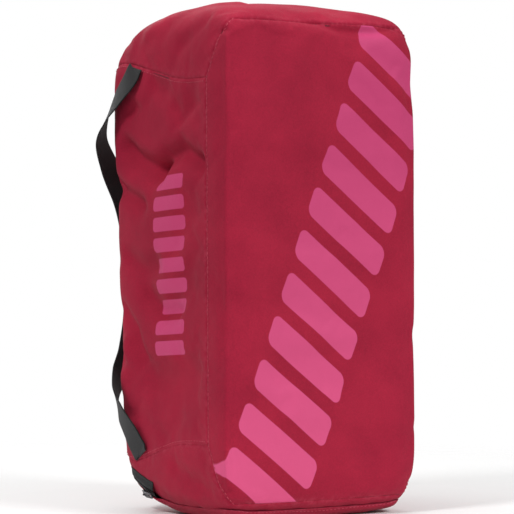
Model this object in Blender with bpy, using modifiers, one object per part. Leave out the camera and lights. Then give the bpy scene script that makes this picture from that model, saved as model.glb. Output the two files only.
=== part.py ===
"""A sports duffel for ice-hockey kit, standing on one end, zipped shut and lightly filled.

Metres, +Z up along the bag's length. The base panel faces -Y, the lid faces +Y and the two long
sides face -X (front) and +X (back). The origin is on the floor, under the middle of the whole box.

The fabric shell is one surface: a box of soft edges, slanted at its ends towards the top. A place on
it is a direction (across, up, along) from the bag's middle, each in half sizes, so -1 up is the base.
"""

import math

import bmesh
import bpy
from mathutils import Matrix, Vector

# Driving dimensions
BAG_LENGTH = 0.70
BAG_WIDTH = 0.32
BAG_DEPTH = 0.298
FABRIC = 0.0012
TAPE = 0.0009
SEAM_GAP = 0.0012

# The shell's form
EDGE_POWER = 12  # higher is squarer
END_SLANT = 0.041  # how far each end leans in at the top edge
END_BULGE = 0.016
FLOOR_FLAT = 0.010  # how much of the lower bulge the floor presses flat
DEPTH_TAPER = 0.19  # the bag is deeper towards its upper end, per metre
POCKET_LIFT = 0.0045  # the pocket's outer face over the end panel's

# Seams, as shares of the half sizes
BASE_SEAM = 0.68
END_SEAM_BASE = 0.73
END_SEAM_TOP = 0.97
END_SEAM_CURVE = 3.2  # higher keeps the end seam level for longer before it nears the top
END_EDGE_BASE = 0.955
END_CORNER = 0.93
END_LOWEST = END_CORNER - 0.01  # the end panel stops this far down beside the base's wings
BASE_WRAP = 1.034

# Lid in the top, open on three sides
LID_HALF_WIDTH = 0.088
LID_HALF_LENGTH = 0.215
LID_CORNER = 0.035

# Zips
COIL_WIDTH = 0.006
COIL_HEIGHT = 0.0022
TAPE_WIDTH = 0.011
ZIP_GAP = 0.0006
ZIP_STEPS = 46
POCKET_ZIP_INSET = (0.007, 0.013)  # of its middle line from the bag's half width and half depth
POCKET_ZIP_END = 0.060
POCKET_CORNER = 0.026
SLIDER = (0.009, 0.013, 0.0032)
SLIDER_LIFT = 0.0017  # over the fabric's outer face
LID_SLIDER_AT = -0.15
POCKET_SLIDER_AT = 0.077
PULL = (0.0095, 0.024, 0.0012)

# Webbing
WEBBING_WIDTH = 0.039
WEBBING = 0.0016
HANDLE_RISE = 0.022
HANDLE_GAP = 0.0016

# D-rings
RING_WIDTH = 0.038
RING_REACH = 0.021
RING_WIRE = 0.002
RING_BAR_AT = 0.262
RING_LIFT = 0.0052
TAB_WIDTH = 0.025
TAB_LENGTH = 0.022

# Base board and inner binding
BOARD = 0.003
BOARD_DROP = 0.0052
BOARD_SHARE = 0.82
BINDING_WIDTH = 0.012
BINDING_DROP = 0.003
BINDING_START = 0.004  # of the way round, where its two ends nearly meet

HALF_WIDTH = BAG_WIDTH / 2
HALF_DEPTH = BAG_DEPTH / 2
POCKET_ZIP_X = HALF_WIDTH - POCKET_ZIP_INSET[0]
POCKET_ZIP_Y = HALF_DEPTH - POCKET_ZIP_INSET[1]
HALF_LENGTH = (BAG_LENGTH - POCKET_LIFT - 2 * END_BULGE + FLOOR_FLAT) / 2
MIDDLE_Z = BAG_LENGTH - HALF_LENGTH - END_BULGE

# The front handle's route between the end seams: clear of the side, over the top edge's level, share
# of the half length, and how far the webbing has turned from facing the side to facing the lid.
HANDLE_ROUTE = (
    (HANDLE_GAP, -0.069, 0.790, 0),
    (0.0040, -0.054, 0.745, 4),
    (0.0075, -0.026, 0.670, 14),
    (0.0090, 0.000, 0.590, 32),
    (0.0070, 0.016, 0.500, 52),
    (-0.0110, HANDLE_RISE, 0.390, 72),
    (-0.0340, 0.020, 0.250, 86),
    (-0.0450, 0.016, 0.100, 90),
    (-0.0470, 0.012, -0.080, 90),
    (-0.0440, 0.009, -0.240, 89),
    (-0.0340, 0.007, -0.370, 82),
    (-0.0160, 0.003, -0.470, 64),
    (-0.0010, -0.010, -0.550, 40),
    (0.0050, -0.033, -0.630, 18),
    (0.0045, -0.062, -0.715, 5),
    (HANDLE_GAP, -0.084, -0.790, 0),
)


def smooth_route(points, share):
    """A Catmull-Rom curve through points of any size, at share from 0 to 1."""
    place = share * (len(points) - 1)
    index = min(int(place), len(points) - 2)
    t = place - index
    near = [points[min(max(index + k, 0), len(points) - 1)] for k in (-1, 0, 1, 2)]
    return [
        0.5 * (2 * b + (c - a) * t + (2 * a - 5 * b + 4 * c - d) * t**2 + (3 * b - a - 3 * c + d) * t**3)
        for a, b, c, d in zip(*near)
    ]


def handle_centre(share):
    """The middle of the webbing, counted from the bag's middle, and how far it has turned."""
    clear, over, along, lean = smooth_route(HANDLE_ROUTE, share)
    return Vector((HALF_WIDTH + clear, HALF_DEPTH + over, along * HALF_LENGTH)), math.radians(lean)


def handle_point(u, v):
    """A place on the webbing, u along it and v across, with x counted outwards to its own side."""
    at, lean = handle_centre(u)
    ahead = handle_centre(min(1.0, u + 0.004))[0] - handle_centre(max(0.0, u - 0.004))[0]
    wide = Vector((-math.sin(lean), math.cos(lean), 0))
    wide = (wide - ahead * wide.dot(ahead) / ahead.length_squared).normalized()
    return at + wide * WEBBING_WIDTH * (v - 0.5)


# The box around everything runs from the base to the handles' highest edge.
HANDLE_CREST = max(handle_point(step / 200, v).y for step in range(201) for v in (0, 1))
MIDDLE_Y = (HALF_DEPTH - HANDLE_CREST - WEBBING / 2) / 2
MIDDLE = Vector((0, MIDDLE_Y, MIDDLE_Z))


def clear_scene():
    for obj in list(bpy.data.objects):
        bpy.data.objects.remove(obj, do_unlink=True)


def collection(name, hidden=False):
    made = bpy.data.collections.new(name)
    made.hide_render = hidden
    bpy.context.scene.collection.children.link(made)
    return made


def material(name, colour, roughness, metallic=0.0):
    made = bpy.data.materials.new(name)
    made.use_nodes = True
    shader = made.node_tree.nodes["Principled BSDF"]
    shader.inputs["Base Color"].default_value = (*colour, 1)
    shader.inputs["Roughness"].default_value = roughness
    shader.inputs["Metallic"].default_value = metallic
    return made


# ---- The bag's surface


def bag_point(across, up, along, out=0.0):
    """The shell's outer face in a direction, moved outwards by out."""
    powers = abs(across) ** EDGE_POWER + abs(up) ** EDGE_POWER + abs(along) ** EDGE_POWER
    shrink = powers ** (-1 / EDGE_POWER)
    x = (HALF_WIDTH + out) * shrink * across
    y = (HALF_DEPTH + out) * shrink * up
    lean = END_SLANT / HALF_LENGTH * max(0.0, y / HALF_DEPTH) ** 2
    z = (HALF_LENGTH + out) * shrink * along * (1 - lean)
    if along:
        crown = max(0.0, 1 - (across / along) ** 2) * max(0.0, 1 - (up / along) ** 2)
        z += math.copysign(END_BULGE * crown, along)
    y = (y + HALF_DEPTH) * (1 + DEPTH_TAPER * z) - HALF_DEPTH
    return Vector((x, MIDDLE_Y + y, max(MIDDLE_Z + z, POCKET_LIFT - out)))


def top_point(x, z, out=0.0):
    """The shell over the lid's side, at x and z from the bag's middle."""
    return bag_point(x / HALF_WIDTH, 1, z / (HALF_LENGTH - END_SLANT), out)


def end_point(x, y, out=0.0):
    """The shell over the lower end, at x and y from the bag's middle."""
    return bag_point(x / HALF_WIDTH, y / HALF_DEPTH, -1, out)


def surface_frame(place, u, v, out, heading):
    """Axes on the surface at (u, v): Y along heading, Z outwards."""
    step = 0.001
    along_u = place(u + step, v, out) - place(u - step, v, out)
    along_v = place(u, v + step, out) - place(u, v - step, out)
    at = place(u, v, out)
    normal = along_u.cross(along_v).normalized()
    if normal.dot(at - MIDDLE) < 0:
        normal.negate()
    forward = (heading - normal * heading.dot(normal)).normalized()
    side = forward.cross(normal)
    frame = Matrix((side, forward, normal)).transposed().to_4x4()
    frame.translation = at
    return frame


def wide_spread(share):
    """Spreads 0..1 to -1..1 with more points near both ends, where the edges turn."""
    return math.sin((share - 0.5) * math.pi)


def end_reach(v):
    """How far the end panel wraps on to the sides, as 1 / along, at v from base (-1) to top (1)."""
    share = ((v + 1) / 2) ** END_SEAM_CURVE
    return 1 / (END_SEAM_BASE + (END_SEAM_TOP - END_SEAM_BASE) * share)


def smooth_step(low, high, value):
    share = min(1.0, max(0.0, (value - low) / (high - low)))
    return share * share * (3 - 2 * share)


def end_direction(u, v):
    """A direction on the end panel, (across, up) for one unit along."""
    across = u * end_reach(v)
    if v > 0:
        return across, v / END_SEAM_TOP
    corner = smooth_step(0.80, 0.94, abs(across))
    return across, v * (END_EDGE_BASE + (END_LOWEST - END_EDGE_BASE) * corner)


# ---- Shapes


def grid(name, columns, rows, place, inside=None):
    """A sheet of columns by rows faces, each point put by place(u, v) with u and v from 0 to 1."""
    mesh = bpy.data.meshes.new(name)
    sheet = bmesh.new()
    bmesh.ops.create_grid(sheet, x_segments=columns, y_segments=rows, size=1)
    for vertex in sheet.verts:
        vertex.co = place((vertex.co.x + 1) / 2, (vertex.co.y + 1) / 2)
    sheet.faces.ensure_lookup_table()
    if inside is not None:
        middle = sheet.faces[len(sheet.faces) // 2]
        middle.normal_update()
        if middle.normal.dot(middle.calc_center_median() - inside) < 0:
            bmesh.ops.reverse_faces(sheet, faces=sheet.faces)
    sheet.to_mesh(mesh)
    sheet.free()
    mesh.shade_smooth()
    return bpy.data.objects.new(name, mesh)


def solid_sheet(parts, name, columns, rows, place, thickness, finish, inside=MIDDLE, offset=-1):
    """A sheet with a wall, its outer face where place puts it."""
    obj = grid(name, columns, rows, place, inside)
    wall = obj.modifiers.new("wall", "SOLIDIFY")
    wall.thickness = thickness
    wall.offset = offset
    obj.data.materials.append(finish)
    parts.objects.link(obj)
    return obj


def box(target, name, size, frame, finish=None, bevel=0.0):
    bpy.ops.mesh.primitive_cube_add(size=1)
    obj = bpy.context.object
    obj.name = obj.data.name = name
    obj.data.transform(Matrix.Diagonal((*size, 1)))
    obj.matrix_world = frame
    if bevel:
        edges = obj.modifiers.new("edges", "BEVEL")
        edges.width = bevel
        edges.segments = 2
    if finish:
        obj.data.materials.append(finish)
    move_to(target, obj)
    return obj


def move_to(target, obj):
    for other in list(obj.users_collection):
        other.objects.unlink(obj)
    target.objects.link(obj)


def join_solid(obj, tool, operation="UNION"):
    cut = obj.modifiers.new(tool.name, "BOOLEAN")
    cut.operation = operation
    cut.object = tool
    tool.display_type = "WIRE"
    tool.hide_render = True


def rounded_block(cutters, name, x_low, x_high, half_length, corner):
    """A cutter through the lid's side: a rounded rectangle in x and z, deep in y."""
    outline = []
    centres = (
        (x_high - corner, half_length - corner, 0),
        (x_low + corner, half_length - corner, 90),
        (x_low + corner, corner - half_length, 180),
        (x_high - corner, corner - half_length, 270),
    )
    for centre_x, centre_z, start in centres:
        for step in range(7):
            turn = math.radians(start + step * 15)
            outline.append((centre_x + corner * math.cos(turn), centre_z + corner * math.sin(turn)))
    block = flat_outline(name, [outline], HALF_DEPTH)
    block.matrix_world = Matrix.Translation(MIDDLE + Vector((0, HALF_DEPTH, 0))) @ Matrix.Rotation(
        math.pi / 2, 4, "X"
    )
    cutters.objects.link(block)
    return as_mesh(cutters, block)


def flat_outline(name, outlines, thickness):
    """A flat plate in X and Y: the first outline is its edge and the others are its holes."""
    curve = bpy.data.curves.new(name, "CURVE")
    curve.dimensions = "2D"
    curve.fill_mode = "BOTH"
    curve.extrude = thickness / 2
    for outline in outlines:
        spline = curve.splines.new("POLY")
        spline.points.add(len(outline) - 1)
        for point, (x, y) in zip(spline.points, outline):
            point.co = (x, y, 0, 1)
        spline.use_cyclic_u = True
    return bpy.data.objects.new(name, curve)


def as_mesh(target, obj):
    """The evaluated curve as a mesh with its caps welded on."""
    bpy.context.view_layer.update()
    evaluated = obj.evaluated_get(bpy.context.evaluated_depsgraph_get())
    mesh = bpy.data.meshes.new_from_object(evaluated)
    work = bmesh.new()
    work.from_mesh(mesh)
    bmesh.ops.remove_doubles(work, verts=work.verts, dist=0.000001)
    bmesh.ops.recalc_face_normals(work, faces=work.faces)
    work.to_mesh(mesh)
    work.free()
    name = obj.name
    placed = obj.matrix_world.copy()
    bpy.data.objects.remove(obj, do_unlink=True)
    made = bpy.data.objects.new(name, mesh)
    made.matrix_world = placed
    target.objects.link(made)
    return made


def stadium(length, width, start=0.0, steps=8):
    """An outline with round ends, from start along +Y."""
    radius = width / 2
    points = []
    for turn in range(steps + 1):
        angle = math.pi * turn / steps
        points.append((radius * math.cos(angle), start + length - radius + radius * math.sin(angle)))
    for turn in range(steps + 1):
        angle = math.pi + math.pi * turn / steps
        points.append((radius * math.cos(angle), start + radius + radius * math.sin(angle)))
    return points


def u_route(share, side, half_width, low, high, corner):
    """A place on a U that opens towards low: from (-half_width, low) up, across and back down.

    side moves it outwards.
    """
    straight = high - corner - low
    bend = corner * math.pi / 2
    top = 2 * (half_width - corner)
    total = 2 * straight + 2 * bend + top
    run = share * total
    lengths = (straight, bend, top, bend, straight)
    leg = 0
    while leg < 4 and run > lengths[leg]:
        run -= lengths[leg]
        leg += 1
    if leg == 0:
        return -half_width - side, low + run
    if leg == 1:
        turn = run / corner
        radius = corner + side
        return corner - half_width - radius * math.cos(turn), high - corner + radius * math.sin(turn)
    if leg == 2:
        return corner - half_width + run, high + side
    if leg == 3:
        turn = run / corner
        radius = corner + side
        return half_width - corner + radius * math.sin(turn), high - corner + radius * math.cos(turn)
    return half_width + side, high - corner - run


def on_lid_zip(share, side, out):
    """The lid zip runs round the front of the lid, from its hinge and back to it."""
    across, along = u_route(
        share, side, LID_HALF_LENGTH, -LID_HALF_WIDTH, LID_HALF_WIDTH, LID_CORNER
    )
    return top_point(-along, across, out)


def on_pocket_zip(share, side, out):
    """The pocket zip runs round the top of the lower end's pocket."""
    across, up = u_route(
        share, side, POCKET_ZIP_X, POCKET_ZIP_END, POCKET_ZIP_Y, POCKET_CORNER
    )
    return end_point(across, up, out)


# ---- Fabric panels


def base_panel(parts, fabric):
    wing_steps, face_steps = 3, 12
    columns = face_steps + 2 * wing_steps

    def place(u, v):
        along = BASE_WRAP * wide_spread(v)
        step = round(u * columns) - wing_steps
        if 0 <= step <= face_steps:
            return bag_point(wide_spread(step / face_steps), -1, along)
        beyond = (-step if step < 0 else step - face_steps) / wing_steps
        edge = max(BASE_SEAM, END_CORNER * abs(along))
        return bag_point(math.copysign(1, step), -1 + beyond * (1 - edge), along)

    solid_sheet(parts, "base_panel", columns, 18, place, FABRIC, fabric)


def side_panel(parts, name, side, fabric):
    gap = SEAM_GAP / HALF_LENGTH
    lowest = SEAM_GAP / HALF_DEPTH - BASE_SEAM

    def place(u, v):
        height = wide_spread(v)
        reach = end_reach(height)
        on_end = height / END_SEAM_TOP if height > 0 else height * END_LOWEST
        # The end panel's edge runs from its own lowest place to the top. This panel's starts at the base.
        share = (on_end / reach + END_LOWEST * END_SEAM_BASE) / (1 + END_LOWEST * END_SEAM_BASE)
        return bag_point(side, lowest + (1 - lowest) * share, (1 / reach - gap) * wide_spread(u))

    solid_sheet(parts, name, 18, 14, place, FABRIC, fabric)


def end_panel(parts, name, end, fabric):
    def place(u, v):
        across, up = end_direction(wide_spread(u), wide_spread(v))
        return bag_point(across, up, end)

    solid_sheet(parts, name, 18, 16, place, FABRIC, fabric)


def top_sheet(parts, name, fabric):
    reach = 1 - 2 * SEAM_GAP / HALF_WIDTH
    along_reach = END_SEAM_TOP - 2 * SEAM_GAP / HALF_LENGTH

    def place(u, v):
        return bag_point(reach * wide_spread(u), 1, along_reach * wide_spread(v))

    return solid_sheet(parts, name, 16, 18, place, FABRIC, fabric)


def top_and_lid(parts, cutters, fabric):
    """The top panel with its opening, and the lid that fills it inside the zip."""
    band = COIL_WIDTH / 2 + ZIP_GAP + TAPE_WIDTH + SEAM_GAP
    hinge = LID_HALF_WIDTH + SEAM_GAP
    top = top_sheet(parts, "top_panel", fabric)
    opening = rounded_block(
        cutters,
        "lid_opening",
        -LID_HALF_WIDTH - band,
        hinge,
        LID_HALF_LENGTH + band,
        LID_CORNER + band,
    )
    square_hinge_corners(cutters, opening, hinge, LID_HALF_LENGTH + band)
    join_solid(top, opening, "DIFFERENCE")
    lid = top_sheet(parts, "lid_panel", fabric)
    edge = LID_HALF_LENGTH - band
    outline = rounded_block(
        cutters, "lid_outline", -LID_HALF_WIDTH + band, LID_HALF_WIDTH, edge, LID_CORNER - band
    )
    square_hinge_corners(cutters, outline, LID_HALF_WIDTH, edge)
    join_solid(lid, outline, "INTERSECT")


def square_hinge_corners(cutters, block, hinge, half_length):
    """The block's corners are square beside the hinge."""
    depth = LID_CORNER * 2
    middle = MIDDLE + Vector((hinge - depth / 2, HALF_DEPTH, 0))
    size = (depth, HALF_DEPTH, 2 * half_length)
    corner = box(cutters, block.name + "_corners", size, Matrix.Translation(middle))
    join_solid(block, corner)


def pocket_panel(parts, fabric):
    """The lower end's pocket, sewn on three quarters of the way and zipped round its top."""
    band = COIL_WIDTH / 2 + ZIP_GAP + TAPE_WIDTH + SEAM_GAP
    half_width = POCKET_ZIP_X - band
    top = POCKET_ZIP_Y - band
    low = -HALF_DEPTH * 0.90
    corner = POCKET_CORNER - band / 2

    def place(u, v):
        up = low + (top - low) * v
        side = half_width
        over = up - (top - corner)
        if over > 0:
            side = half_width - corner + math.sqrt(max(0.0, corner**2 - over**2))
        under = (low + corner) - up
        if under > 0:
            side = half_width - corner + math.sqrt(max(0.0, corner**2 - under**2))
        return end_point((2 * u - 1) * side, up, POCKET_LIFT)

    solid_sheet(parts, "pocket_panel", 14, 16, place, FABRIC, fabric)


# ---- Zips


def zip_strip(parts, name, route, inner, outer, out, thickness, finish, offset=-1):
    def place(u, v):
        return route(u, inner + (outer - inner) * v, out)

    solid_sheet(parts, name, ZIP_STEPS, 1, place, thickness, finish, offset=offset)


def zip_band(parts, prefix, inner_name, outer_name, route, out, finishes):
    """The two tapes of a zip and the closed coil between them."""
    tape, coil = finishes
    edge = COIL_WIDTH / 2
    start = edge + ZIP_GAP
    zip_strip(parts, outer_name, route, start, start + TAPE_WIDTH, out, TAPE, tape)
    zip_strip(parts, inner_name, route, -start - TAPE_WIDTH, -start, out, TAPE, tape)
    zip_strip(parts, prefix + "_zip_coil", route, -edge, edge, out, COIL_HEIGHT, coil, offset=0)


def zip_slider(parts, cutters, name, frame, metal):
    """The slider's body with its bridge, a ring sunk halfway into it."""
    width, length, height = SLIDER
    body_frame = frame @ Matrix.Translation((0, 0, height / 2))
    body = box(parts, name, (width, length, height), body_frame, metal, bevel=0.0007)
    bpy.ops.mesh.primitive_torus_add(
        major_radius=0.0030, minor_radius=0.0007, major_segments=16, minor_segments=8
    )
    bridge = bpy.context.object
    bridge.name = bridge.data.name = name + "_bridge"
    bridge.matrix_world = frame @ Matrix.Translation((0, 0, height)) @ Matrix.Rotation(
        math.pi / 2, 4, "Y"
    )
    move_to(cutters, bridge)
    join_solid(body, bridge)


def zip_pull(parts, name, pivot, metal):
    """An oval tab. Its eye takes the bridge, and its end bar is the pivot."""
    width, length, thickness = PULL
    bar = 0.0012
    eye = stadium(0.0085, 0.0038, bar / 2)
    edge = stadium(length, width, -bar / 2)
    finger = stadium(0.0085, 0.0036, length - 0.0105)
    tab = flat_outline(name, [edge, eye, finger], thickness)
    tab.matrix_world = pivot
    parts.objects.link(tab)
    tab = as_mesh(parts, tab)
    tab.data.materials.append(metal)


def pull_pivot(slider_frame, droop):
    """The pull's bar lies under the crown of the bridge, and the tab hangs by droop degrees."""
    height = SLIDER[2] + 0.0014
    return (
        slider_frame @ Matrix.Translation((0, 0, height)) @ Matrix.Rotation(-math.radians(droop), 4, "X")
    )


def route_frame(route, share, out):
    """Axes on a zip: Y along it, X across it and Z outwards."""
    step = 0.002
    forward = (route(share + step, 0, out) - route(share - step, 0, out)).normalized()
    across = route(share, step, out) - route(share, -step, out)
    normal = forward.cross(across).normalized()
    if normal.dot(route(share, 0, out) - MIDDLE) < 0:
        normal.negate()
    frame = Matrix((forward.cross(normal), forward, normal)).transposed().to_4x4()
    frame.translation = route(share, 0, out)
    return frame


def zip_stop(parts, name, route, share, out, metal):
    """A pressed block over the end of the coil."""
    height = 0.0014
    lift = COIL_HEIGHT / 2 + height / 2 + ZIP_GAP
    frame = route_frame(route, share, out) @ Matrix.Translation((0, 0, lift))
    box(parts, name, (COIL_WIDTH, 0.003, height), frame, metal, bevel=0.0003)


# ---- Webbing and rings


def handle(parts, name, side, webbing):
    """Webbing from seam to seam. It faces the side at its ends and the lid in the middle."""

    def place(u, v):
        clear, y, z = handle_point(u, v)
        return Vector((side * clear, MIDDLE_Y + y, MIDDLE_Z + z))

    solid_sheet(parts, name, 44, 2, place, WEBBING, webbing, offset=0)


def d_ring(parts, name, pivot, metal):
    """A closed D of wire. Its straight bar is the pivot, and the bow hangs along +Y."""
    curve = bpy.data.curves.new(name, "CURVE")
    curve.dimensions = "3D"
    curve.bevel_depth = RING_WIRE
    curve.bevel_resolution = 2
    spline = curve.splines.new("POLY")
    half = RING_WIDTH / 2 - RING_WIRE
    steps = 14
    points = [(half, 0.0), (half, 0.004)]
    for step in range(1, steps):
        turn = math.pi * step / steps
        points.append((half * math.cos(turn), 0.004 + (RING_REACH - 0.004) * math.sin(turn)))
    points += [(-half, 0.004), (-half, 0.0)]
    spline.points.add(len(points) - 1)
    for point, (x, y) in zip(spline.points, points):
        point.co = (x, y, 0, 1)
    spline.use_cyclic_u = True
    ring = bpy.data.objects.new(name, curve)
    ring.matrix_world = pivot
    ring.data.materials.append(metal)
    parts.objects.link(ring)


def ring_tab(parts, name, pivot, webbing):
    """Webbing folded round the ring's bar, with both tails flat on the top."""
    inner = RING_WIRE + 0.0006
    turns = 10

    def place(u, v):
        x = TAB_WIDTH * (v - 0.5)
        step = round(u * (turns + 2))
        if step == 0:
            y, z = TAB_LENGTH, -inner
        elif step == turns + 2:
            y, z = TAB_LENGTH, -inner + 0.0004
        else:
            turn = -math.pi / 2 - 1.06 * math.pi * (step - 1) / turns
            y, z = inner * math.cos(turn), inner * math.sin(turn)
        return pivot @ Vector((x, -y, z))

    solid_sheet(parts, name, turns + 2, 2, place, WEBBING, webbing, inside=None, offset=1)


def rings(parts, webbing, metal):
    for name, end in (("upper", 1), ("lower", -1)):
        down = Vector((0, 0, -1))
        frame = surface_frame(top_point, 0, end * RING_BAR_AT, 0, down)
        pivot = frame @ Matrix.Translation((0, 0, RING_LIFT))
        d_ring(parts, "d_ring_" + name, pivot, metal)
        ring_tab(parts, "d_ring_tab_" + name, pivot, webbing)


# ---- Inside


def base_board(parts, plastic):
    size = (2 * HALF_WIDTH * BOARD_SHARE, BOARD, 2 * HALF_LENGTH * BOARD_SHARE)
    middle = MIDDLE + Vector((0, BOARD_DROP + BOARD / 2 - HALF_DEPTH, 0))
    box(parts, "base_board", size, Matrix.Translation(middle), plastic, bevel=0.0008)


def end_binding(parts, name, end, tape):
    """A ring of binding over the end seam's raw edges. It starts and stops at the base."""

    def edge(share):
        """A place round the end panel's edge, clockwise from the middle of its base."""
        side = (0.625 + share) % 1.0 * 4
        run = side % 1.0 * 2 - 1
        return ((run, 1.0), (1.0, -run), (-run, -1.0), (-1.0, run))[int(side)]

    def place(u, v):
        across, up = end_direction(*edge(BINDING_START + u * (1 - 2 * BINDING_START)))
        return bag_point(across, up, end, -BINDING_DROP - BINDING_WIDTH * v)

    solid_sheet(parts, name, 40, 1, place, TAPE, tape, inside=None, offset=0)


def base_binding(parts, name, side, tape):
    def place(u, v):
        along = (2 * u - 1) * (END_SEAM_BASE - 0.03)
        return bag_point(side, -BASE_SEAM, along, -BINDING_DROP - BINDING_WIDTH * v)

    solid_sheet(parts, name, 10, 1, place, TAPE, tape, inside=None, offset=0)


def main():
    clear_scene()
    parts = collection("hockey_bag")
    cutters = collection("cutters", hidden=True)
    crimson = material("crimson_polyester", (0.40, 0.012, 0.042), 0.75)
    webbing = material("black_webbing", (0.008, 0.008, 0.009), 0.7)
    zip_tape = material("black_zip_tape", (0.010, 0.010, 0.011), 0.8)
    coil = material("nylon_coil", (0.014, 0.014, 0.016), 0.4)
    metal = material("black_nickel", (0.10, 0.10, 0.11), 0.3, 1.0)
    board = material("polyethylene_board", (0.02, 0.02, 0.022), 0.5)

    base_panel(parts, crimson)
    side_panel(parts, "front_panel", -1, crimson)
    side_panel(parts, "back_panel", 1, crimson)
    end_panel(parts, "upper_end_panel", 1, crimson)
    end_panel(parts, "lower_end_panel", -1, crimson)
    top_and_lid(parts, cutters, crimson)
    pocket_panel(parts, crimson)

    zip_band(parts, "lid", "lid_zip_tape", "top_zip_tape", on_lid_zip, 0, (zip_tape, coil))
    zip_band(
        parts, "pocket", "pocket_zip_tape", "end_zip_tape", on_pocket_zip, POCKET_LIFT, (zip_tape, coil)
    )
    down = Vector((0, 0, -1))
    lid_slider = surface_frame(top_point, -LID_HALF_WIDTH, LID_SLIDER_AT, SLIDER_LIFT, down)
    zip_slider(parts, cutters, "lid_slider", lid_slider, metal)
    zip_pull(parts, "lid_pull", pull_pivot(lid_slider, 7), metal)
    pocket_slider = surface_frame(
        end_point,
        -POCKET_ZIP_X,
        POCKET_SLIDER_AT,
        POCKET_LIFT + SLIDER_LIFT,
        Vector((0, -1, 0)),
    )
    zip_slider(parts, cutters, "pocket_slider", pocket_slider, metal)
    zip_pull(parts, "pocket_pull", pull_pivot(pocket_slider, 7), metal)
    for name, route, out in (("lid", on_lid_zip, 0), ("pocket", on_pocket_zip, POCKET_LIFT)):
        zip_stop(parts, name + "_stop_front", route, 0.006, out, metal)
        zip_stop(parts, name + "_stop_back", route, 0.994, out, metal)

    handle(parts, "handle_front", -1, webbing)
    handle(parts, "handle_back", 1, webbing)
    rings(parts, webbing, metal)

    base_board(parts, board)
    end_binding(parts, "end_binding_upper", 1, zip_tape)
    end_binding(parts, "end_binding_lower", -1, zip_tape)
    base_binding(parts, "base_binding_front", -1, zip_tape)
    base_binding(parts, "base_binding_back", 1, zip_tape)


main()
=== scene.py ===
"""Looks for a standing ice-hockey duffel: sewn crimson fabric panels, zips, webbing handles and D-rings.

Metres. The bag stands on its lower end with its length along +Z, its base faces -Y, its zipped top
faces +Y and its two long sides face -X (front) and +X (back).

A place on the fabric shell is a direction (across, up, along) from the bag's middle in half sizes, as
in the CAD model. Each panel is a grid of such places. It is given the sags and folds that light
filling leaves, then a short cloth simulation between its seams, and last its rolled seam edges.
"""

import math

import bmesh
import bpy
import numpy as np
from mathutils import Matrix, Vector, noise


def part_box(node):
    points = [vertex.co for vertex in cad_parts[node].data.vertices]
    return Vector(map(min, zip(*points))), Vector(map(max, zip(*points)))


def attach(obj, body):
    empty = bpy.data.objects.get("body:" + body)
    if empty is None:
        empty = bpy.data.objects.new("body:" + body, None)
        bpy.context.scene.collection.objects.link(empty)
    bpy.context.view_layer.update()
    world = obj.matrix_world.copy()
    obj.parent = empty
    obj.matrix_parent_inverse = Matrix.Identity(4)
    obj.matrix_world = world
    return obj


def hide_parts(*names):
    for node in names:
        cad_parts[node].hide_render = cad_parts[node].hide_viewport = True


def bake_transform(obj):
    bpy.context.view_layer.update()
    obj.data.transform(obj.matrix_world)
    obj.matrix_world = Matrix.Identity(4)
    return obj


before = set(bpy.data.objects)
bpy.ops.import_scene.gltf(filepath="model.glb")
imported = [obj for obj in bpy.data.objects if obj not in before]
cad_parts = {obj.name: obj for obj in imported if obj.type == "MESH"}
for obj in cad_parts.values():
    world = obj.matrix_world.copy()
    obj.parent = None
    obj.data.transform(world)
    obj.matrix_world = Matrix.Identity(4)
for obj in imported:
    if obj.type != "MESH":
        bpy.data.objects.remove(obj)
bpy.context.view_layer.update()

# ---- Sizes, the same as the CAD model's

BAG_LENGTH = 0.70
HALF_WIDTH = 0.16
HALF_DEPTH = 0.149
POCKET_LIFT = 0.0045
END_BULGE = 0.016
FLOOR_FLAT = 0.010
HALF_LENGTH = (BAG_LENGTH - POCKET_LIFT - 2 * END_BULGE + FLOOR_FLAT) / 2
MIDDLE_Z = BAG_LENGTH - HALF_LENGTH - END_BULGE
MIDDLE_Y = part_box("base_panel")[0].y + HALF_DEPTH
MIDDLE = np.array((0, MIDDLE_Y, MIDDLE_Z))
EDGE_POWER = 12
END_SLANT = 0.041
DEPTH_TAPER = 0.19

# Seams, as shares of the half sizes
END_SEAM_BASE = 0.73
END_SEAM_TOP = 0.97
END_SEAM_CURVE = 3.2
END_EDGE = 0.967
END_CORNER = 0.93
BASE_SEAM = END_CORNER * END_SEAM_BASE

LID_HALF_WIDTH = 0.088
LID_HALF_LENGTH = 0.215
LID_CORNER = 0.035
POCKET_ZIP_X = 0.153
POCKET_ZIP_Y = 0.136
POCKET_ZIP_END = 0.060
POCKET_CORNER = 0.026
ZIP_BAND = 0.0062  # from the zip's middle line to the folded cloth beside it
ZIP_FLAP = 0.0013  # how far that cloth stands over the tape
HINGE_GAP = 0.0004
TAPE_START = 0.0034  # from the zip's middle line
TAPE_WIDTH = 0.0112
WEBBING_WIDTH = 0.039
WEBBING = 0.0016
RING_BAR_AT = 0.262
RING_LIFT = 0.0052  # the bar's middle over the cloth
TAB_WIDTH = 0.025
TAB_LENGTH = 0.022

# Detail
FABRIC = 0.0009
SEAM_ROLL = 0.005  # how far from a seam the cloth starts to turn in
SEAM_DEPTH = 0.0016
STITCH_PITCH = 0.0062
ZIP_PITCH = 0.0021
CLOTH_CELL = 0.0095
CLOTH_UNEVEN = 0.0004  # starts the simulation's buckles, and keeps two points from lying on each other
SEED = 7


# ---- The bag's surface, for arrays of directions


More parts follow.
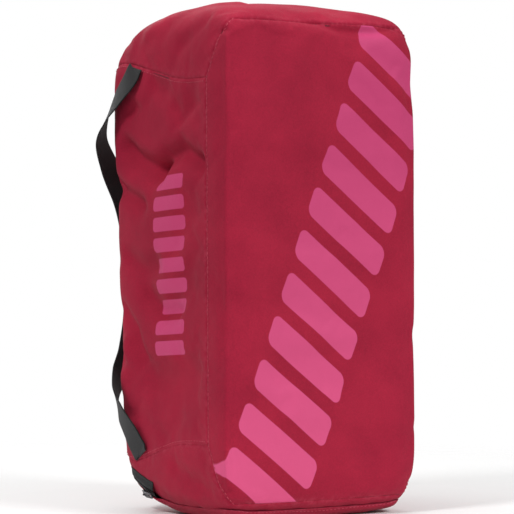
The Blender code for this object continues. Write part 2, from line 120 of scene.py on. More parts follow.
def bag_surface(directions, out=0.0):
    """The shell's outer face in each direction, before any sag."""
    across, up, along = directions.T
    shrink = (np.abs(directions) ** EDGE_POWER).sum(1) ** (-1 / EDGE_POWER)
    x = (HALF_WIDTH + out) * shrink * across
    y = (HALF_DEPTH + out) * shrink * up
    lean = END_SLANT / HALF_LENGTH * np.maximum(0, y / HALF_DEPTH) ** 2
    z = (HALF_LENGTH + out) * shrink * along * (1 - lean)
    safe = np.where(along == 0, 1, along)
    crown = np.maximum(0, 1 - (across / safe) ** 2) * np.maximum(0, 1 - (up / safe) ** 2)
    z = z + np.where(along == 0, 0, np.copysign(END_BULGE * crown, along))
    y = (y + HALF_DEPTH) * (1 + DEPTH_TAPER * z) - HALF_DEPTH
    return np.stack((x, MIDDLE_Y + y, np.maximum(MIDDLE_Z + z, POCKET_LIFT - out)), 1)


def surface_normals(directions):
    """Outward unit normals of the shell."""
    helper = np.where(
        np.abs(directions[:, 2:]) > 0.7 * np.abs(directions).max(1)[:, None], (1, 0, 0), (0, 0, 1)
    )
    first = np.cross(directions, helper)
    first /= np.linalg.norm(first, axis=1)[:, None]
    second = np.cross(directions, first)
    second /= np.linalg.norm(second, axis=1)[:, None]
    step = 0.012
    normal = np.cross(
        bag_surface(directions + step * first) - bag_surface(directions - step * first),
        bag_surface(directions + step * second) - bag_surface(directions - step * second),
    )
    normal /= np.maximum(1e-12, np.linalg.norm(normal, axis=1))[:, None]
    facing = np.sign((normal * directions).sum(1))
    return normal * np.where(facing == 0, 1, facing)[:, None]


def smooth_step(low, high, value):
    share = np.clip((value - low) / (high - low), 0, 1)
    return share * share * (3 - 2 * share)


# Folds in the cloth. Each is a line of points (x, y from the middle, z) just over the shell, then its
# depth and how wide its upper and lower flanks are. A negative depth is a ridge.
FOLDS = (
    # the big sagging fold under the upper handle, with a cusp in its middle
    (((-0.16, 0.112, 0.508), (-0.16, 0.082, 0.490), (-0.16, 0.030, 0.476)), 0.0203, 0.017, 0.026),
    (
        ((-0.16, 0.030, 0.476), (-0.16, 0.004, 0.490), (-0.16, -0.030, 0.497), (-0.16, -0.084, 0.479)),
        0.0194,
        0.017,
        0.024,
    ),
    (((-0.16, 0.140, 0.452), (-0.16, 0.100, 0.440), (-0.16, 0.066, 0.427)), 0.0126, 0.013, 0.020),
    # shallow hollows under the strap
    (((-0.16, 0.086, 0.563), (-0.16, 0.100, 0.552)), 0.0087, 0.012, 0.012),
    (((-0.16, 0.040, 0.590), (-0.16, 0.010, 0.582)), 0.0058, 0.020, 0.022),
    (((-0.16, -0.020, 0.552), (-0.16, -0.030, 0.540), (-0.16, -0.055, 0.556)), 0.0081, 0.026, 0.016),
    # the slack lower half
    (((-0.16, 0.100, 0.350), (-0.16, 0.060, 0.336), (-0.16, 0.030, 0.342)), 0.0107, 0.024, 0.022),
    (((-0.16, 0.048, 0.300), (-0.16, 0.012, 0.276), (-0.16, -0.020, 0.282)), 0.0136, 0.024, 0.020),
    (((-0.16, 0.120, 0.280), (-0.16, 0.088, 0.252), (-0.16, 0.070, 0.215)), 0.0116, 0.016, 0.020),
    (((-0.16, 0.136, 0.232), (-0.16, 0.116, 0.206)), 0.0097, 0.010, 0.012),
    (((-0.16, 0.040, 0.188), (-0.16, -0.020, 0.180), (-0.16, -0.060, 0.192)), 0.0097, 0.040, 0.034),
    (((-0.16, 0.142, 0.150), (-0.16, 0.118, 0.188), (-0.16, 0.104, 0.240)), -0.0055, 0.011, 0.011),
    (((-0.16, 0.090, 0.120), (-0.16, 0.050, 0.098)), -0.0041, 0.014, 0.014),
    # pressed creases where the base turns on to the long sides
    (((-0.151, -0.141, 0.05), (-0.151, -0.141, 0.66)), -0.0042, 0.006, 0.006),
    (((0.151, -0.141, 0.05), (0.151, -0.141, 0.66)), -0.0042, 0.006, 0.006),
    # the base's upper edge gives way under the end's bulge
    (((-0.040, -0.149, 0.696), (0.030, -0.149, 0.690), (0.120, -0.149, 0.688)), -0.0050, 0.010, 0.010),
    (
        (
            (-0.060, -0.150, 0.690),
            (-0.020, -0.152, 0.679),
            (0.030, -0.152, 0.669),
            (0.085, -0.152, 0.668),
            (0.125, -0.152, 0.674),
        ),
        0.0190,
        0.009,
        0.016,
    ),
    (((0.060, -0.152, 0.640), (0.110, -0.152, 0.612), (0.150, -0.152, 0.590)), 0.0030, 0.026, 0.020),
    (((-0.150, -0.152, 0.665), (-0.128, -0.152, 0.668)), 0.0034, 0.006, 0.006),
    # creases on the upper end, running in from the front corner
    (((-0.150, 0.060, 0.660), (-0.120, -0.010, 0.676), (-0.090, -0.070, 0.690)), -0.0055, 0.016, 0.016),
    (((-0.160, -0.030, 0.640), (-0.140, -0.080, 0.656), (-0.120, -0.110, 0.668)), 0.0055, 0.014, 0.014),
    (((-0.160, -0.110, 0.648), (-0.150, -0.130, 0.654)), 0.0041, 0.005, 0.006),
    (((0.030, 0.040, 0.690), (0.090, -0.020, 0.692), (0.130, -0.090, 0.690)), 0.0062, 0.022, 0.022),
    # the lower end, pressed and creased where it rests
    (((-0.160, 0.020, 0.040), (-0.150, -0.050, 0.030), (-0.130, -0.110, 0.014)), -0.0041, 0.010, 0.012),
    (((-0.160, -0.020, 0.068), (-0.160, -0.060, 0.052), (-0.158, -0.100, 0.042)), 0.0062, 0.015, 0.012),
    # the far side's own folds
    (
        ((0.16, 0.110, 0.540), (0.16, 0.050, 0.515), (0.16, -0.020, 0.522), (0.16, -0.080, 0.500)),
        0.0165,
        0.016,
        0.028,
    ),
    (((0.16, 0.120, 0.430), (0.16, 0.070, 0.400), (0.16, 0.010, 0.410)), 0.0116, 0.018, 0.024),
    (((0.16, 0.080, 0.300), (0.16, 0.010, 0.275), (0.16, -0.060, 0.290)), 0.0136, 0.020, 0.028),
    (((0.16, 0.130, 0.210), (0.16, 0.080, 0.175), (0.16, 0.030, 0.180)), 0.0107, 0.016, 0.022),
    # the top, slack beside the lid
    (((-0.150, 0.135, 0.455), (-0.125, 0.140, 0.425), (-0.130, 0.140, 0.385)), 0.0076, 0.014, 0.014),
    (((-0.145, 0.125, 0.250), (-0.125, 0.130, 0.220), (-0.135, 0.130, 0.190)), 0.0069, 0.014, 0.014),
    (((0.150, 0.135, 0.500), (0.128, 0.140, 0.470), (0.132, 0.140, 0.420)), 0.0069, 0.014, 0.014),
    (((0.145, 0.125, 0.300), (0.124, 0.130, 0.265), (0.135, 0.130, 0.225)), 0.0076, 0.014, 0.014),
    # the lid, sunk between the zip's legs
    (((-0.045, 0.150, 0.460), (0.000, 0.150, 0.430), (0.050, 0.150, 0.445)), 0.0083, 0.020, 0.030),
    (((-0.050, 0.140, 0.330), (-0.005, 0.140, 0.300), (0.040, 0.140, 0.318)), 0.0083, 0.020, 0.030),
    (((-0.035, 0.135, 0.225), (0.010, 0.135, 0.205), (0.050, 0.135, 0.222)), 0.0062, 0.018, 0.024),
)


def distance_to_line(points, line):
    """(distance, how far above the line) for each point, to its nearest place on the line."""
    best = np.full(len(points), 1e9)
    above = np.zeros(len(points))
    for start, end in zip(line[:-1], line[1:]):
        start, end = np.array(start), np.array(end)
        step = end - start
        share = np.clip((points - start) @ step / (step @ step), 0, 1)
        away = points - start - share[:, None] * step
        distance = np.linalg.norm(away, axis=1)
        nearer = distance < best
        best = np.where(nearer, distance, best)
        above = np.where(nearer, away[:, 2], above)
    return best, above


def stiff_lines():
    """Where zips, rings, sewn ends and seams hold the cloth: a line with y from the middle, how far
    from it the cloth is held and free, and how firmly."""
    lid_x, lid_z = LID_HALF_WIDTH, LID_HALF_LENGTH
    lid = [
        (lid_x, 0.145, -lid_z),
        (-lid_x, 0.145, -lid_z),
        (-lid_x, 0.145, lid_z),
        (lid_x, 0.145, lid_z),
        (lid_x, 0.145, -lid_z),
    ]
    lid = [(x, y, MIDDLE_Z + z) for x, y, z in lid]
    pocket = [
        (-0.153, 0.03, 0.018),
        (-0.153, 0.12, 0.035),
        (-0.10, 0.135, 0.035),
        (0.10, 0.135, 0.035),
        (0.153, 0.12, 0.035),
        (0.153, 0.03, 0.018),
    ]
    rings = [
        [(0, 0.15, MIDDLE_Z + end * RING_BAR_AT), (0, 0.15, MIDDLE_Z + end * RING_BAR_AT - 0.02)]
        for end in (-1, 1)
    ]
    handles = [
        [
            (side * 0.161, over + 0.149, MIDDLE_Z + along * HALF_LENGTH),
            (side * 0.161, over + 0.143, MIDDLE_Z + along * HALF_LENGTH * 0.93),
        ]
        for side in (-1, 1)
        for over, along in ((-0.066, 0.790), (-0.084, -0.790))
    ]
    seams = [
        [(side * 0.16, -BASE_SEAM * HALF_DEPTH, MIDDLE_Z + end * 0.245) for end in (-1, 1)]
        for side in (-1, 1)
    ]
    return (
        [(lid, 0.014, 0.034, 1.0), (pocket, 0.014, 0.030, 1.0)]
        + [(ring, 0.014, 0.034, 1.0) for ring in rings]
        + [(handle, 0.018, 0.036, 1.0) for handle in handles]
        + [(seam, 0.002, 0.022, 0.8) for seam in seams]
    )


STIFF_LINES = stiff_lines()


def held(points):
    """1 where the cloth is free, 0 where something stiff is sewn to it."""
    local = points - (0, MIDDLE_Y, 0)
    free = np.ones(len(points))
    for line, near, far, firm in STIFF_LINES:
        distance, _ = distance_to_line(local, line)
        free = np.minimum(free, 1 - firm * (1 - smooth_step(near, far, distance)))
    return free


def relief(points):
    """How far the cloth stands out from (+) or sinks into (-) the plain shell."""
    local = points - (0, MIDDLE_Y, 0)
    depth = np.zeros(len(points))
    for line, height, upper, lower in FOLDS:
        distance, above = distance_to_line(local, line)
        width = upper + (lower - upper) * smooth_step(0.006, -0.006, above)
        depth -= height * np.exp(-((distance / width) ** 2) * 1.9)
    slack = np.array([noise.noise(Vector(p) * 7.5 + Vector((3.1, 0.4, 8.2))) for p in points])
    small = np.array([noise.noise(Vector(p) * 24 + Vector((1.7, 5.2, 0.3))) for p in points])
    base = smooth_step(-0.100, -0.140, local[:, 1])
    depth += slack * (0.0050 - 0.0030 * base) + small * (0.0012 - 0.0007 * base)
    # nothing sinks through the floor, or leaves it where the bag stands
    floor = smooth_step(0.004, 0.030, points[:, 2])
    return np.minimum(depth, 0.005) * held(points) * floor


def shell(directions, out=0.0):
    """The cloth's outer face in each direction, with its sags and folds."""
    plain = bag_surface(directions)
    normals = surface_normals(directions)
    return plain + normals * (relief(plain) + out)[:, None]


def top_directions(x, z):
    """Directions over the zipped top, at x and z from the bag's middle."""
    x, z = np.broadcast_arrays(np.asarray(x, float), np.asarray(z, float))
    return np.stack((x / HALF_WIDTH, np.ones_like(x), z / (HALF_LENGTH - END_SLANT)), 1)


def end_directions(x, y):
    """Directions over the lower end, at x and y from the bag's middle."""
    x, y = np.broadcast_arrays(np.asarray(x, float), np.asarray(y, float))
    return np.stack((x / HALF_WIDTH, y / HALF_DEPTH, -np.ones_like(x)), 1)


# ---- Panels as grids of directions, u and v from -1 to 1


def end_edge(across):
    """How near the base the end panel's lower seam runs."""
    return END_EDGE + (END_CORNER - END_EDGE) * smooth_step(0.78, 0.93, np.abs(across))


def end_reach(v):
    share = ((v + 1) / 2) ** END_SEAM_CURVE
    return 1 / (END_SEAM_BASE + (END_SEAM_TOP - END_SEAM_BASE) * share)


def base_directions(u, v):
    """The base wraps on to both long sides: the middle 76% of u is its face, the rest its wings."""
    face = 0.76
    x = np.clip(u / face, -1, 1)
    seen = x * END_EDGE
    for _ in range(4):
        seen = x * end_edge(seen)
    along = v / np.where(np.abs(u) <= face, end_edge(seen), END_CORNER)
    wing = np.clip((np.abs(u) - face) / (1 - face), 0, 1)
    edge = np.maximum(BASE_SEAM, END_CORNER * np.abs(along))
    return np.stack((x, -1 + wing * (1 - edge), along), 1)


def side_directions(side):
    def place(u, v):
        reach = end_reach(v)
        up = np.where(v > 0, v / END_SEAM_TOP, v * END_CORNER) / reach
        return np.stack((np.full_like(u, side), up, u / reach), 1)

    return place


def end_panel_directions(end):
    def place(u, v):
        across = u * end_reach(v)
        up = np.where(v > 0, v / END_SEAM_TOP, v * end_edge(across))
        return np.stack((across, up, np.full_like(u, end)), 1)

    return place


# ---- Turning grids into cloth


def stations(length, cell):
    """Shares from -1 to 1, about cell apart, and closer where the cloth rolls in to a seam."""
    edge = np.array((0, 0.0008, 0.0018, 0.0030, 0.0046)) / (length / 2)
    count = max(4, round(length / cell))
    inner = np.linspace(-1 + edge[-1], 1 - edge[-1], count)
    return np.concatenate((-1 + edge[:-1], inner, (1 - edge[:-1])[::-1]))


def cubic_weights(shares, count):
    """A matrix that reads count even samples from -1 to 1 at each share, by Catmull-Rom curves."""
    weights = np.zeros((len(shares), count))
    place = (np.asarray(shares) + 1) / 2 * (count - 1)
    index = np.clip(place.astype(int), 0, count - 2)
    t = place - index
    curve = (
        -0.5 * t + t**2 - 0.5 * t**3,
        1 - 2.5 * t**2 + 1.5 * t**3,
        0.5 * t + 2 * t**2 - 1.5 * t**3,
        -0.5 * t**2 + 0.5 * t**3,
    )
    for offset, weight in zip((-1, 0, 1, 2), curve):
        np.add.at(weights, (np.arange(len(shares)), np.clip(index + offset, 0, count - 1)), weight)
    return weights


def grid_faces(rows, columns):
    index = np.arange(rows * columns).reshape(rows, columns)
    return np.stack((index[:-1, :-1], index[:-1, 1:], index[1:, 1:], index[1:, :-1]), -1).reshape(-1, 4)


def panel_plan(place, width, length, give=0.0):
    """A panel's grid for the simulation, the flat size that it was cut to, and how far the simulation
    may move its points."""
    coarse = (max(6, round(length / CLOTH_CELL)), max(6, round(width / CLOTH_CELL)))
    return {"place": place, "size": (width, length), "coarse": coarse, "give": give, "move": None}


def directions_on(plan, us, vs):
    u, v = np.meshgrid(us, vs)
    return plan["place"](u.ravel(), v.ravel())


def settle(plans):
    """One short cloth simulation over all the panels. Their seams are pinned, and the slack that sewing
    leaves between them falls into small folds."""
    points, faces, pins, normals = [], [], [], []
    uneven = np.random.default_rng(SEED)
    for plan in plans:
        rows, columns = plan["coarse"]
        directions = directions_on(plan, np.linspace(-1, 1, columns), np.linspace(-1, 1, rows))
        here = shell(directions)
        here += uneven.uniform(-CLOTH_UNEVEN, CLOTH_UNEVEN, here.shape)
        pin = 1 - held(here)
        edge = np.zeros((rows, columns), bool)
        edge[[0, -1]] = edge[:, [0, -1]] = True
        pin = np.maximum(pin, edge.ravel())
        pin = np.maximum(pin, smooth_step(0.020, 0.006, here[:, 2]))
        start = sum(len(p) for p in points)
        faces.append(grid_faces(rows, columns) + start)
        points.append(here)
        pins.append(pin)
        normals.append(surface_normals(directions))
    points, pins, normals = np.concatenate(points), np.concatenate(pins), np.concatenate(normals)
    mesh = bpy.data.meshes.new("settling_cloth")
    mesh.from_pydata(points.tolist(), [], np.concatenate(faces).tolist())
    cloth = bpy.data.objects.new("settling_cloth", mesh)
    bpy.context.scene.collection.objects.link(cloth)
    group = cloth.vertex_groups.new(name="sewn")
    for index, weight in enumerate(pins):
        if weight > 0.02:
            group.add([index], float(weight), "REPLACE")
    modifier = cloth.modifiers.new("cloth", "CLOTH")
    settings = modifier.settings
    settings.vertex_group_mass = "sewn"
    settings.quality = 5
    settings.mass = 0.22
    settings.tension_stiffness = settings.compression_stiffness = 60
    settings.shear_stiffness = 9
    settings.bending_stiffness = 0.9
    settings.air_damping = 3
    settings.shrink_min = settings.shrink_max = -0.020
    settings.effector_weights.gravity = 0
    modifier.collision_settings.use_collision = False
    modifier.collision_settings.use_self_collision = False
    modifier.point_cache.frame_start, modifier.point_cache.frame_end = 1, 18
    scene = bpy.context.scene
    for step in range(1, 19):
        scene.frame_set(step)
    settled = np.zeros(len(points) * 3)
    evaluated = cloth.evaluated_get(bpy.context.evaluated_depsgraph_get())
    evaluated.data.vertices.foreach_get("co", settled)
    scene.frame_set(1)
    bpy.data.objects.remove(cloth, do_unlink=True)
    move = settled.reshape(-1, 3) - points
    # the straps and zips leave the cloth less room outwards than inwards
    outwards = np.maximum(0, (move * normals).sum(1))
    move -= 0.6 * outwards[:, None] * normals
    start = 0
    for plan in plans:
        rows, columns = plan["coarse"]
        here = move[start : start + rows * columns]
        far = np.maximum(np.linalg.norm(here, axis=1), 1e-9)
        here = here * (plan["give"] * np.tanh(far / plan["give"]) / far)[:, None]
        plan["move"] = here.reshape(rows, columns, 3)
        start += rows * columns


def edge_distance(points):
    """How far each point of a grid is from the grid's nearest edge, along the cloth."""
    across = np.linalg.norm(np.diff(points, axis=1), axis=2)
    along = np.linalg.norm(np.diff(points, axis=0), axis=2)
    zero_row, zero_column = np.zeros((1, points.shape[1])), np.zeros((points.shape[0], 1))
    left = np.concatenate((zero_column, np.cumsum(across, 1)), 1)
    low = np.concatenate((zero_row, np.cumsum(along, 0)), 0)
    return np.minimum.reduce((left, left[:, -1:] - left, low, low[-1:] - low))


def seam_shape(points, distance, depth=SEAM_DEPTH, roll=SEAM_ROLL):
    """The cloth turns in at a seam and puckers beside it, as its thread draws it up."""
    turned = -depth * np.clip(1 - distance / roll, 0, 1) ** 2
    flat = points.reshape(-1, 3)
    ripple = np.array([noise.noise(Vector(p) * 95) for p in flat]).reshape(distance.shape)
    near = np.exp(-(((distance - 0.007) / 0.006) ** 2))
    return turned + 0.00042 * ripple * near


def sheet_of(points, normals, distance, u, v):
    """A grid of points, its normals, each point's distance from an edge, and its place on the flat cut."""
    return {"points": points, "normals": normals, "distance": distance, "uv": np.stack((u, v), -1)}


def sewn_panel(plan, cell, depth=SEAM_DEPTH):
    """The panel's fine grid of points, its normals and each point's distance from a seam."""
    width, length = plan["size"]
    us, vs = stations(width, cell), stations(length, cell)
    directions = directions_on(plan, us, vs)
    points = shell(directions).reshape(len(vs), len(us), 3)
    normals = surface_normals(directions).reshape(points.shape)
    if plan["move"] is not None:
        rows, columns = plan["coarse"]
        across, along = cubic_weights(us, columns), cubic_weights(vs, rows)
        points = points + np.einsum("ij,jkc,lk->ilc", along, plan["move"], across)
    distance = edge_distance(points)
    points = points + normals * seam_shape(points, distance, depth)[..., None]
    u, v = np.meshgrid(us * width / 2, vs * length / 2)
    return sheet_of(points, normals, distance, u, v)


def plain_mesh(name, points, faces):
    mesh = bpy.data.meshes.new(name)
    mesh.from_pydata(np.asarray(points).reshape(-1, 3).tolist(), [], np.asarray(faces).tolist())
    mesh.shade_smooth()
    obj = bpy.data.objects.new(name, mesh)
    bpy.context.scene.collection.objects.link(obj)
    return obj


def lay_uv(mesh, flat):
    """A UV map in metres, so that a weave can be drawn at its real size."""
    layer = mesh.uv_layers.new(name="cut")
    corners = np.zeros(len(mesh.loops), np.int32)
    mesh.loops.foreach_get("vertex_index", corners)
    layer.data.foreach_set("uv", np.asarray(flat, np.float32).reshape(-1, 2)[corners].ravel())


def face_outwards(obj, normals):
    """Turns all faces of a one-sided sheet if its first faces point inwards."""
    mesh = obj.data
    made = np.zeros(len(mesh.vertices) * 3)
    mesh.vertices.foreach_get("normal", made)
    if (made.reshape(-1, 3) * np.asarray(normals).reshape(-1, 3)).sum() < 0:
        mesh.flip_normals()


def cloth_piece(name, sheet, materials, thickness=FABRIC, subdivide=1):
    """A sheet of cloth as a piece: its grid, its cut's UV map, its wall and its smoothing."""
    points = sheet["points"]
    rows, columns = points.shape[:2]
    obj = plain_mesh(name, points, grid_faces(rows, columns))
    lay_uv(obj.data, sheet["uv"])
    wear = obj.data.attributes.new("seam_wear", "FLOAT", "POINT")
    wear.data.foreach_set("value", np.exp(-sheet["distance"].ravel() / 0.004).astype(np.float32))
    face_outwards(obj, sheet["normals"])
    for made in materials:
        obj.data.materials.append(made)
    if subdivide:
        smooth = obj.modifiers.new("smooth", "SUBSURF")
        smooth.levels = smooth.render_levels = subdivide
        smooth.uv_smooth = "NONE"
    wall = obj.modifiers.new("wall", "SOLIDIFY")
    wall.thickness = thickness
    wall.offset = -1
    wall.use_even_offset = False
    if len(materials) > 1:
        wall.material_offset = 1
    return obj


def stands_for(obj, node, rides=None):
    """Hides the CAD node that a piece replaces, and puts the piece on the body it rides on."""
    if rides:
        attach(obj, rides)
    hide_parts(node)


def inset_line(points, edge, inset):
    """The line over a grid of points that runs inset from one of its edges."""
    turned = {
        "left": points,
        "right": points[:, ::-1],
        "low": points.transpose(1, 0, 2),
        "high": points[::-1].transpose(1, 0, 2),
    }[edge]
    line = []
    for row in turned:
        run = np.concatenate(([0], np.cumsum(np.linalg.norm(np.diff(row, axis=0), axis=1))))
        line.append([np.interp(inset, run, row[:, k]) for k in range(3)])
    return np.array(line)


# ---- Nodes and materials


def linear(text):
    """An sRGB hex colour as linear red, green, blue and alpha."""
    values = [int(text[i : i + 2], 16) / 255 for i in (1, 3, 5)]
    return (*[c / 12.92 if c <= 0.04045 else ((c + 0.055) / 1.055) ** 2.4 for c in values], 1.0)


def add(tree, kind, inputs=(), out=0, **settings):
    """Adds a node with its settings and links, and returns one of its outputs, or all if out is None. An
    input, given in order or by name, is a number, a colour or another node's output."""
    made = tree.nodes.new(kind if "Node" in kind else "ShaderNode" + kind)
    for name, value in settings.items():
        setattr(made, name, value)
    for name, value in inputs.items() if isinstance(inputs, dict) else enumerate(inputs):
        if isinstance(value, bpy.types.NodeSocket):
            tree.links.new(value, made.inputs[name])
        else:
            made.inputs[name].default_value = value
    return made.outputs if out is None else made.outputs[out]


def new_finish(name, **shader_values):
    made = bpy.data.materials.new(name)
    made.use_nodes = True
    shader = made.node_tree.nodes["Principled BSDF"]
    for key, value in shader_values.items():
        shader.inputs[key.replace("_", " ")].default_value = value
    return made, made.node_tree


def worked(made, colour, rough, normal):
    """Joins a finish's colour, roughness and bumps to its shader."""
    shader = made.node_tree.nodes["Principled BSDF"]
    for name, value in (("Base Color", colour), ("Roughness", rough), ("Normal", normal)):
        made.node_tree.links.new(value, shader.inputs[name])
    return made


def bar_row(tree, across, along, count, pitch, half_long, half_wide, corner, slant):
    """1 inside a row of slanted bars with round corners: count of them, pitch apart along the row."""
    leaned = add(tree, "Math", (across, slant, along), operation="MULTIPLY_ADD")
    place = add(tree, "Math", (leaned, pitch), operation="DIVIDE")
    index = add(tree, "Math", (place,), operation="ROUND")
    limit = (count - 1) / 2
    index = add(
        tree, "Math", (add(tree, "Math", (index, -limit), operation="MAXIMUM"), limit), operation="MINIMUM"
    )
    inner = add(
        tree, "Math", (add(tree, "Math", (place, index), operation="SUBTRACT"), pitch), operation="MULTIPLY"
    )
    away_x = add(
        tree,
        "Math",
        (add(tree, "Math", (across,), operation="ABSOLUTE"), half_long - corner),
        operation="SUBTRACT",
    )
    away_z = add(
        tree,
        "Math",
        (add(tree, "Math", (inner,), operation="ABSOLUTE"), half_wide - corner),
        operation="SUBTRACT",
    )
    out_x = add(tree, "Math", (away_x, 0.0), operation="MAXIMUM")
    out_z = add(tree, "Math", (away_z, 0.0), operation="MAXIMUM")
    squares = add(
        tree,
        "Math",
        (out_x, out_x, add(tree, "Math", (out_z, out_z), operation="MULTIPLY")),
        operation="MULTIPLY_ADD",
    )
    distance = add(
        tree, "Math", (add(tree, "Math", (squares,), operation="SQRT"), corner), operation="SUBTRACT"
    )
    return add(tree, "MapRange", (distance, 0.0005, -0.0005, 0.0, 1.0))


def crimson_polyester(name, bars=None):
    """600-denier polyester in a plain weave, piece-dyed crimson and coated on its back. It looks matt
    and slightly mottled, with a faint bloom at grazing angles, and paler where seams rub.

    bars is a screen print of slanted bars: (middle, turn about its facing axis, faces the side, the
    sizes for bar_row, ink colour at its lower and upper end).
    """
    made, tree = new_finish(name, Sheen_Weight=0.04, Sheen_Roughness=0.5, Specular_IOR_Level=0.14)
    place = add(tree, "TexCoord", out="Object")
    cut = add(tree, "UVMap", uv_map="cut")
    seam = add(tree, "Attribute", out="Fac", attribute_name="seam_wear")

    # Threads are 0.45 mm apart, too fine to show, so the weave is drawn at 1.5 mm
    turns = 1 / 0.0015
    warp = add(
        tree,
        "TexWave",
        {"Vector": cut, "Scale": turns / 2, "Distortion": 0.6, "Detail Scale": 2.0},
        "Fac",
        bands_direction="X",
    )
    weft = add(
        tree,
        "TexWave",
        {"Vector": cut, "Scale": turns / 2, "Distortion": 0.6, "Detail Scale": 2.0},
        "Fac",
        bands_direction="Y",
    )
    weave = add(tree, "Math", (warp, weft), operation="MULTIPLY")
    # Uneven yarn and dye: a speckle about 2.5 mm across and clouds about 60 mm across
    speckle = add(tree, "TexNoise", {"Vector": place, "Scale": 420.0, "Detail": 3.0, "Roughness": 0.7})
    clouds = add(tree, "TexNoise", {"Vector": place, "Scale": 14.0, "Detail": 3.0})
    tone = add(
        tree,
        "Math",
        (clouds, 0.45, add(tree, "Math", (speckle, 0.55), operation="MULTIPLY")),
        operation="MULTIPLY_ADD",
    )
    cloth = add(
        tree,
        "Mix",
        {
            0: add(tree, "MapRange", (tone, 0.30, 0.70, 0.0, 1.0)),
            6: linear("#8f1330"),
            7: linear("#b3223f"),
        },
        2,
        data_type="RGBA",
    )
    cloth = add(
        tree,
        "Mix",
        {0: add(tree, "Math", (weave, 0.10), operation="MULTIPLY"), 6: cloth, 7: linear("#c63a55")},
        2,
        data_type="RGBA",
    )
    # The seams' rubbed edges, broken up by a noise
    rub = add(tree, "TexNoise", {"Vector": place, "Scale": 160.0, "Detail": 4.0})
    rubbed = add(
        tree, "Math", (seam, add(tree, "MapRange", (rub, 0.45, 0.75, 0.0, 0.55))), operation="MULTIPLY"
    )
    cloth = add(tree, "Mix", {0: rubbed, 6: cloth, 7: linear("#c65066")}, 2, data_type="RGBA")
    # Darker and browner on the lowest 30 mm, broken up by a noise
    height = add(tree, "SeparateXYZ", (place,), 2)
    darker_low_band = add(
        tree, "Math", (add(tree, "MapRange", (height, 0.035, 0.0, 0.0, 0.35)), rub), operation="MULTIPLY"
    )
    cloth = add(tree, "Mix", {0: darker_low_band, 6: cloth, 7: linear("#6b3a40")}, 2, data_type="RGBA")
    rough = add(tree, "MapRange", (speckle, 0.3, 0.7, 0.70, 0.86))
    relief_share = weave

    if bars:
        middle, turn, on_side, sizes, low_ink, high_ink = bars
        at = add(
            tree, "Mapping", {"Vector": place, "Location": middle, "Rotation": turn}, vector_type="TEXTURE"
        )
        parts = add(tree, "SeparateXYZ", (at,), None)
        print_mask = bar_row(tree, parts[1] if on_side else parts[0], parts[2], *sizes)
        # ink sits on the threads' crowns, and thins out a little where the cloth is rough
        worn = add(
            tree,
            "MapRange",
            (
                add(tree, "TexNoise", {"Vector": place, "Scale": 300.0, "Detail": 4.0, "Roughness": 0.7}),
                0.22,
                0.34,
                0.75,
                1.0,
            ),
        )
        print_mask = add(tree, "Math", (print_mask, worn), operation="MULTIPLY")
        ink = add(
            tree,
            "Mix",
            {
                0: add(tree, "MapRange", (height, 0.02, 0.55, 0.0, 1.0)),
                6: linear(low_ink),
                7: linear(high_ink),
            },
            2,
            data_type="RGBA",
        )
        ink = add(
            tree,
            "Mix",
            {0: add(tree, "Math", (weave, 0.12), operation="MULTIPLY"), 6: ink, 7: linear("#f08cab")},
            2,
            data_type="RGBA",
        )
        cloth = add(tree, "Mix", {0: print_mask, 6: cloth, 7: ink}, 2, data_type="RGBA")
        rough = add(tree, "Math", (print_mask, -0.22, rough), operation="MULTIPLY_ADD")
        relief_share = add(
            tree,
            "Math",
            (weave, add(tree, "MapRange", (print_mask, 0.0, 1.0, 1.0, 0.45))),
            operation="MULTIPLY",
        )
    broad = add(
        tree,
        "Bump",
        {
            "Height": add(tree, "TexNoise", {"Vector": place, "Scale": 60.0, "Detail": 3.0}),
            "Distance": 0.0012,
            "Strength": 0.5,
        },
    )
    fine = add(
        tree, "Bump", {"Height": relief_share, "Distance": 0.00025, "Strength": 0.55, "Normal": broad}
    )
    surface = add(tree, "Bump", {"Height": speckle, "Distance": 0.0003, "Strength": 0.4, "Normal": fine})
    return worked(made, cloth, rough, surface)


def coated_back():
    """The polyurethane coating on the cloth's inner face: smooth, greyer, with a fine orange peel."""
    made, tree = new_finish("polyurethane_backing", Specular_IOR_Level=0.4)
    place = add(tree, "TexCoord", out="Object")
    peel = add(tree, "TexNoise", {"Vector": place, "Scale": 500.0, "Detail": 3.0})
    clouds = add(tree, "TexNoise", {"Vector": place, "Scale": 18.0, "Detail": 3.0})
    colour = add(tree, "Mix", {0: clouds, 6: linear("#6d1c2e"), 7: linear("#7e2b3c")}, 2, data_type="RGBA")
    rough = add(tree, "MapRange", (peel, 0.3, 0.7, 0.45, 0.62))
    surface = add(tree, "Bump", {"Height": peel, "Distance": 0.0003, "Strength": 0.4})
    return worked(made, colour, rough, surface)


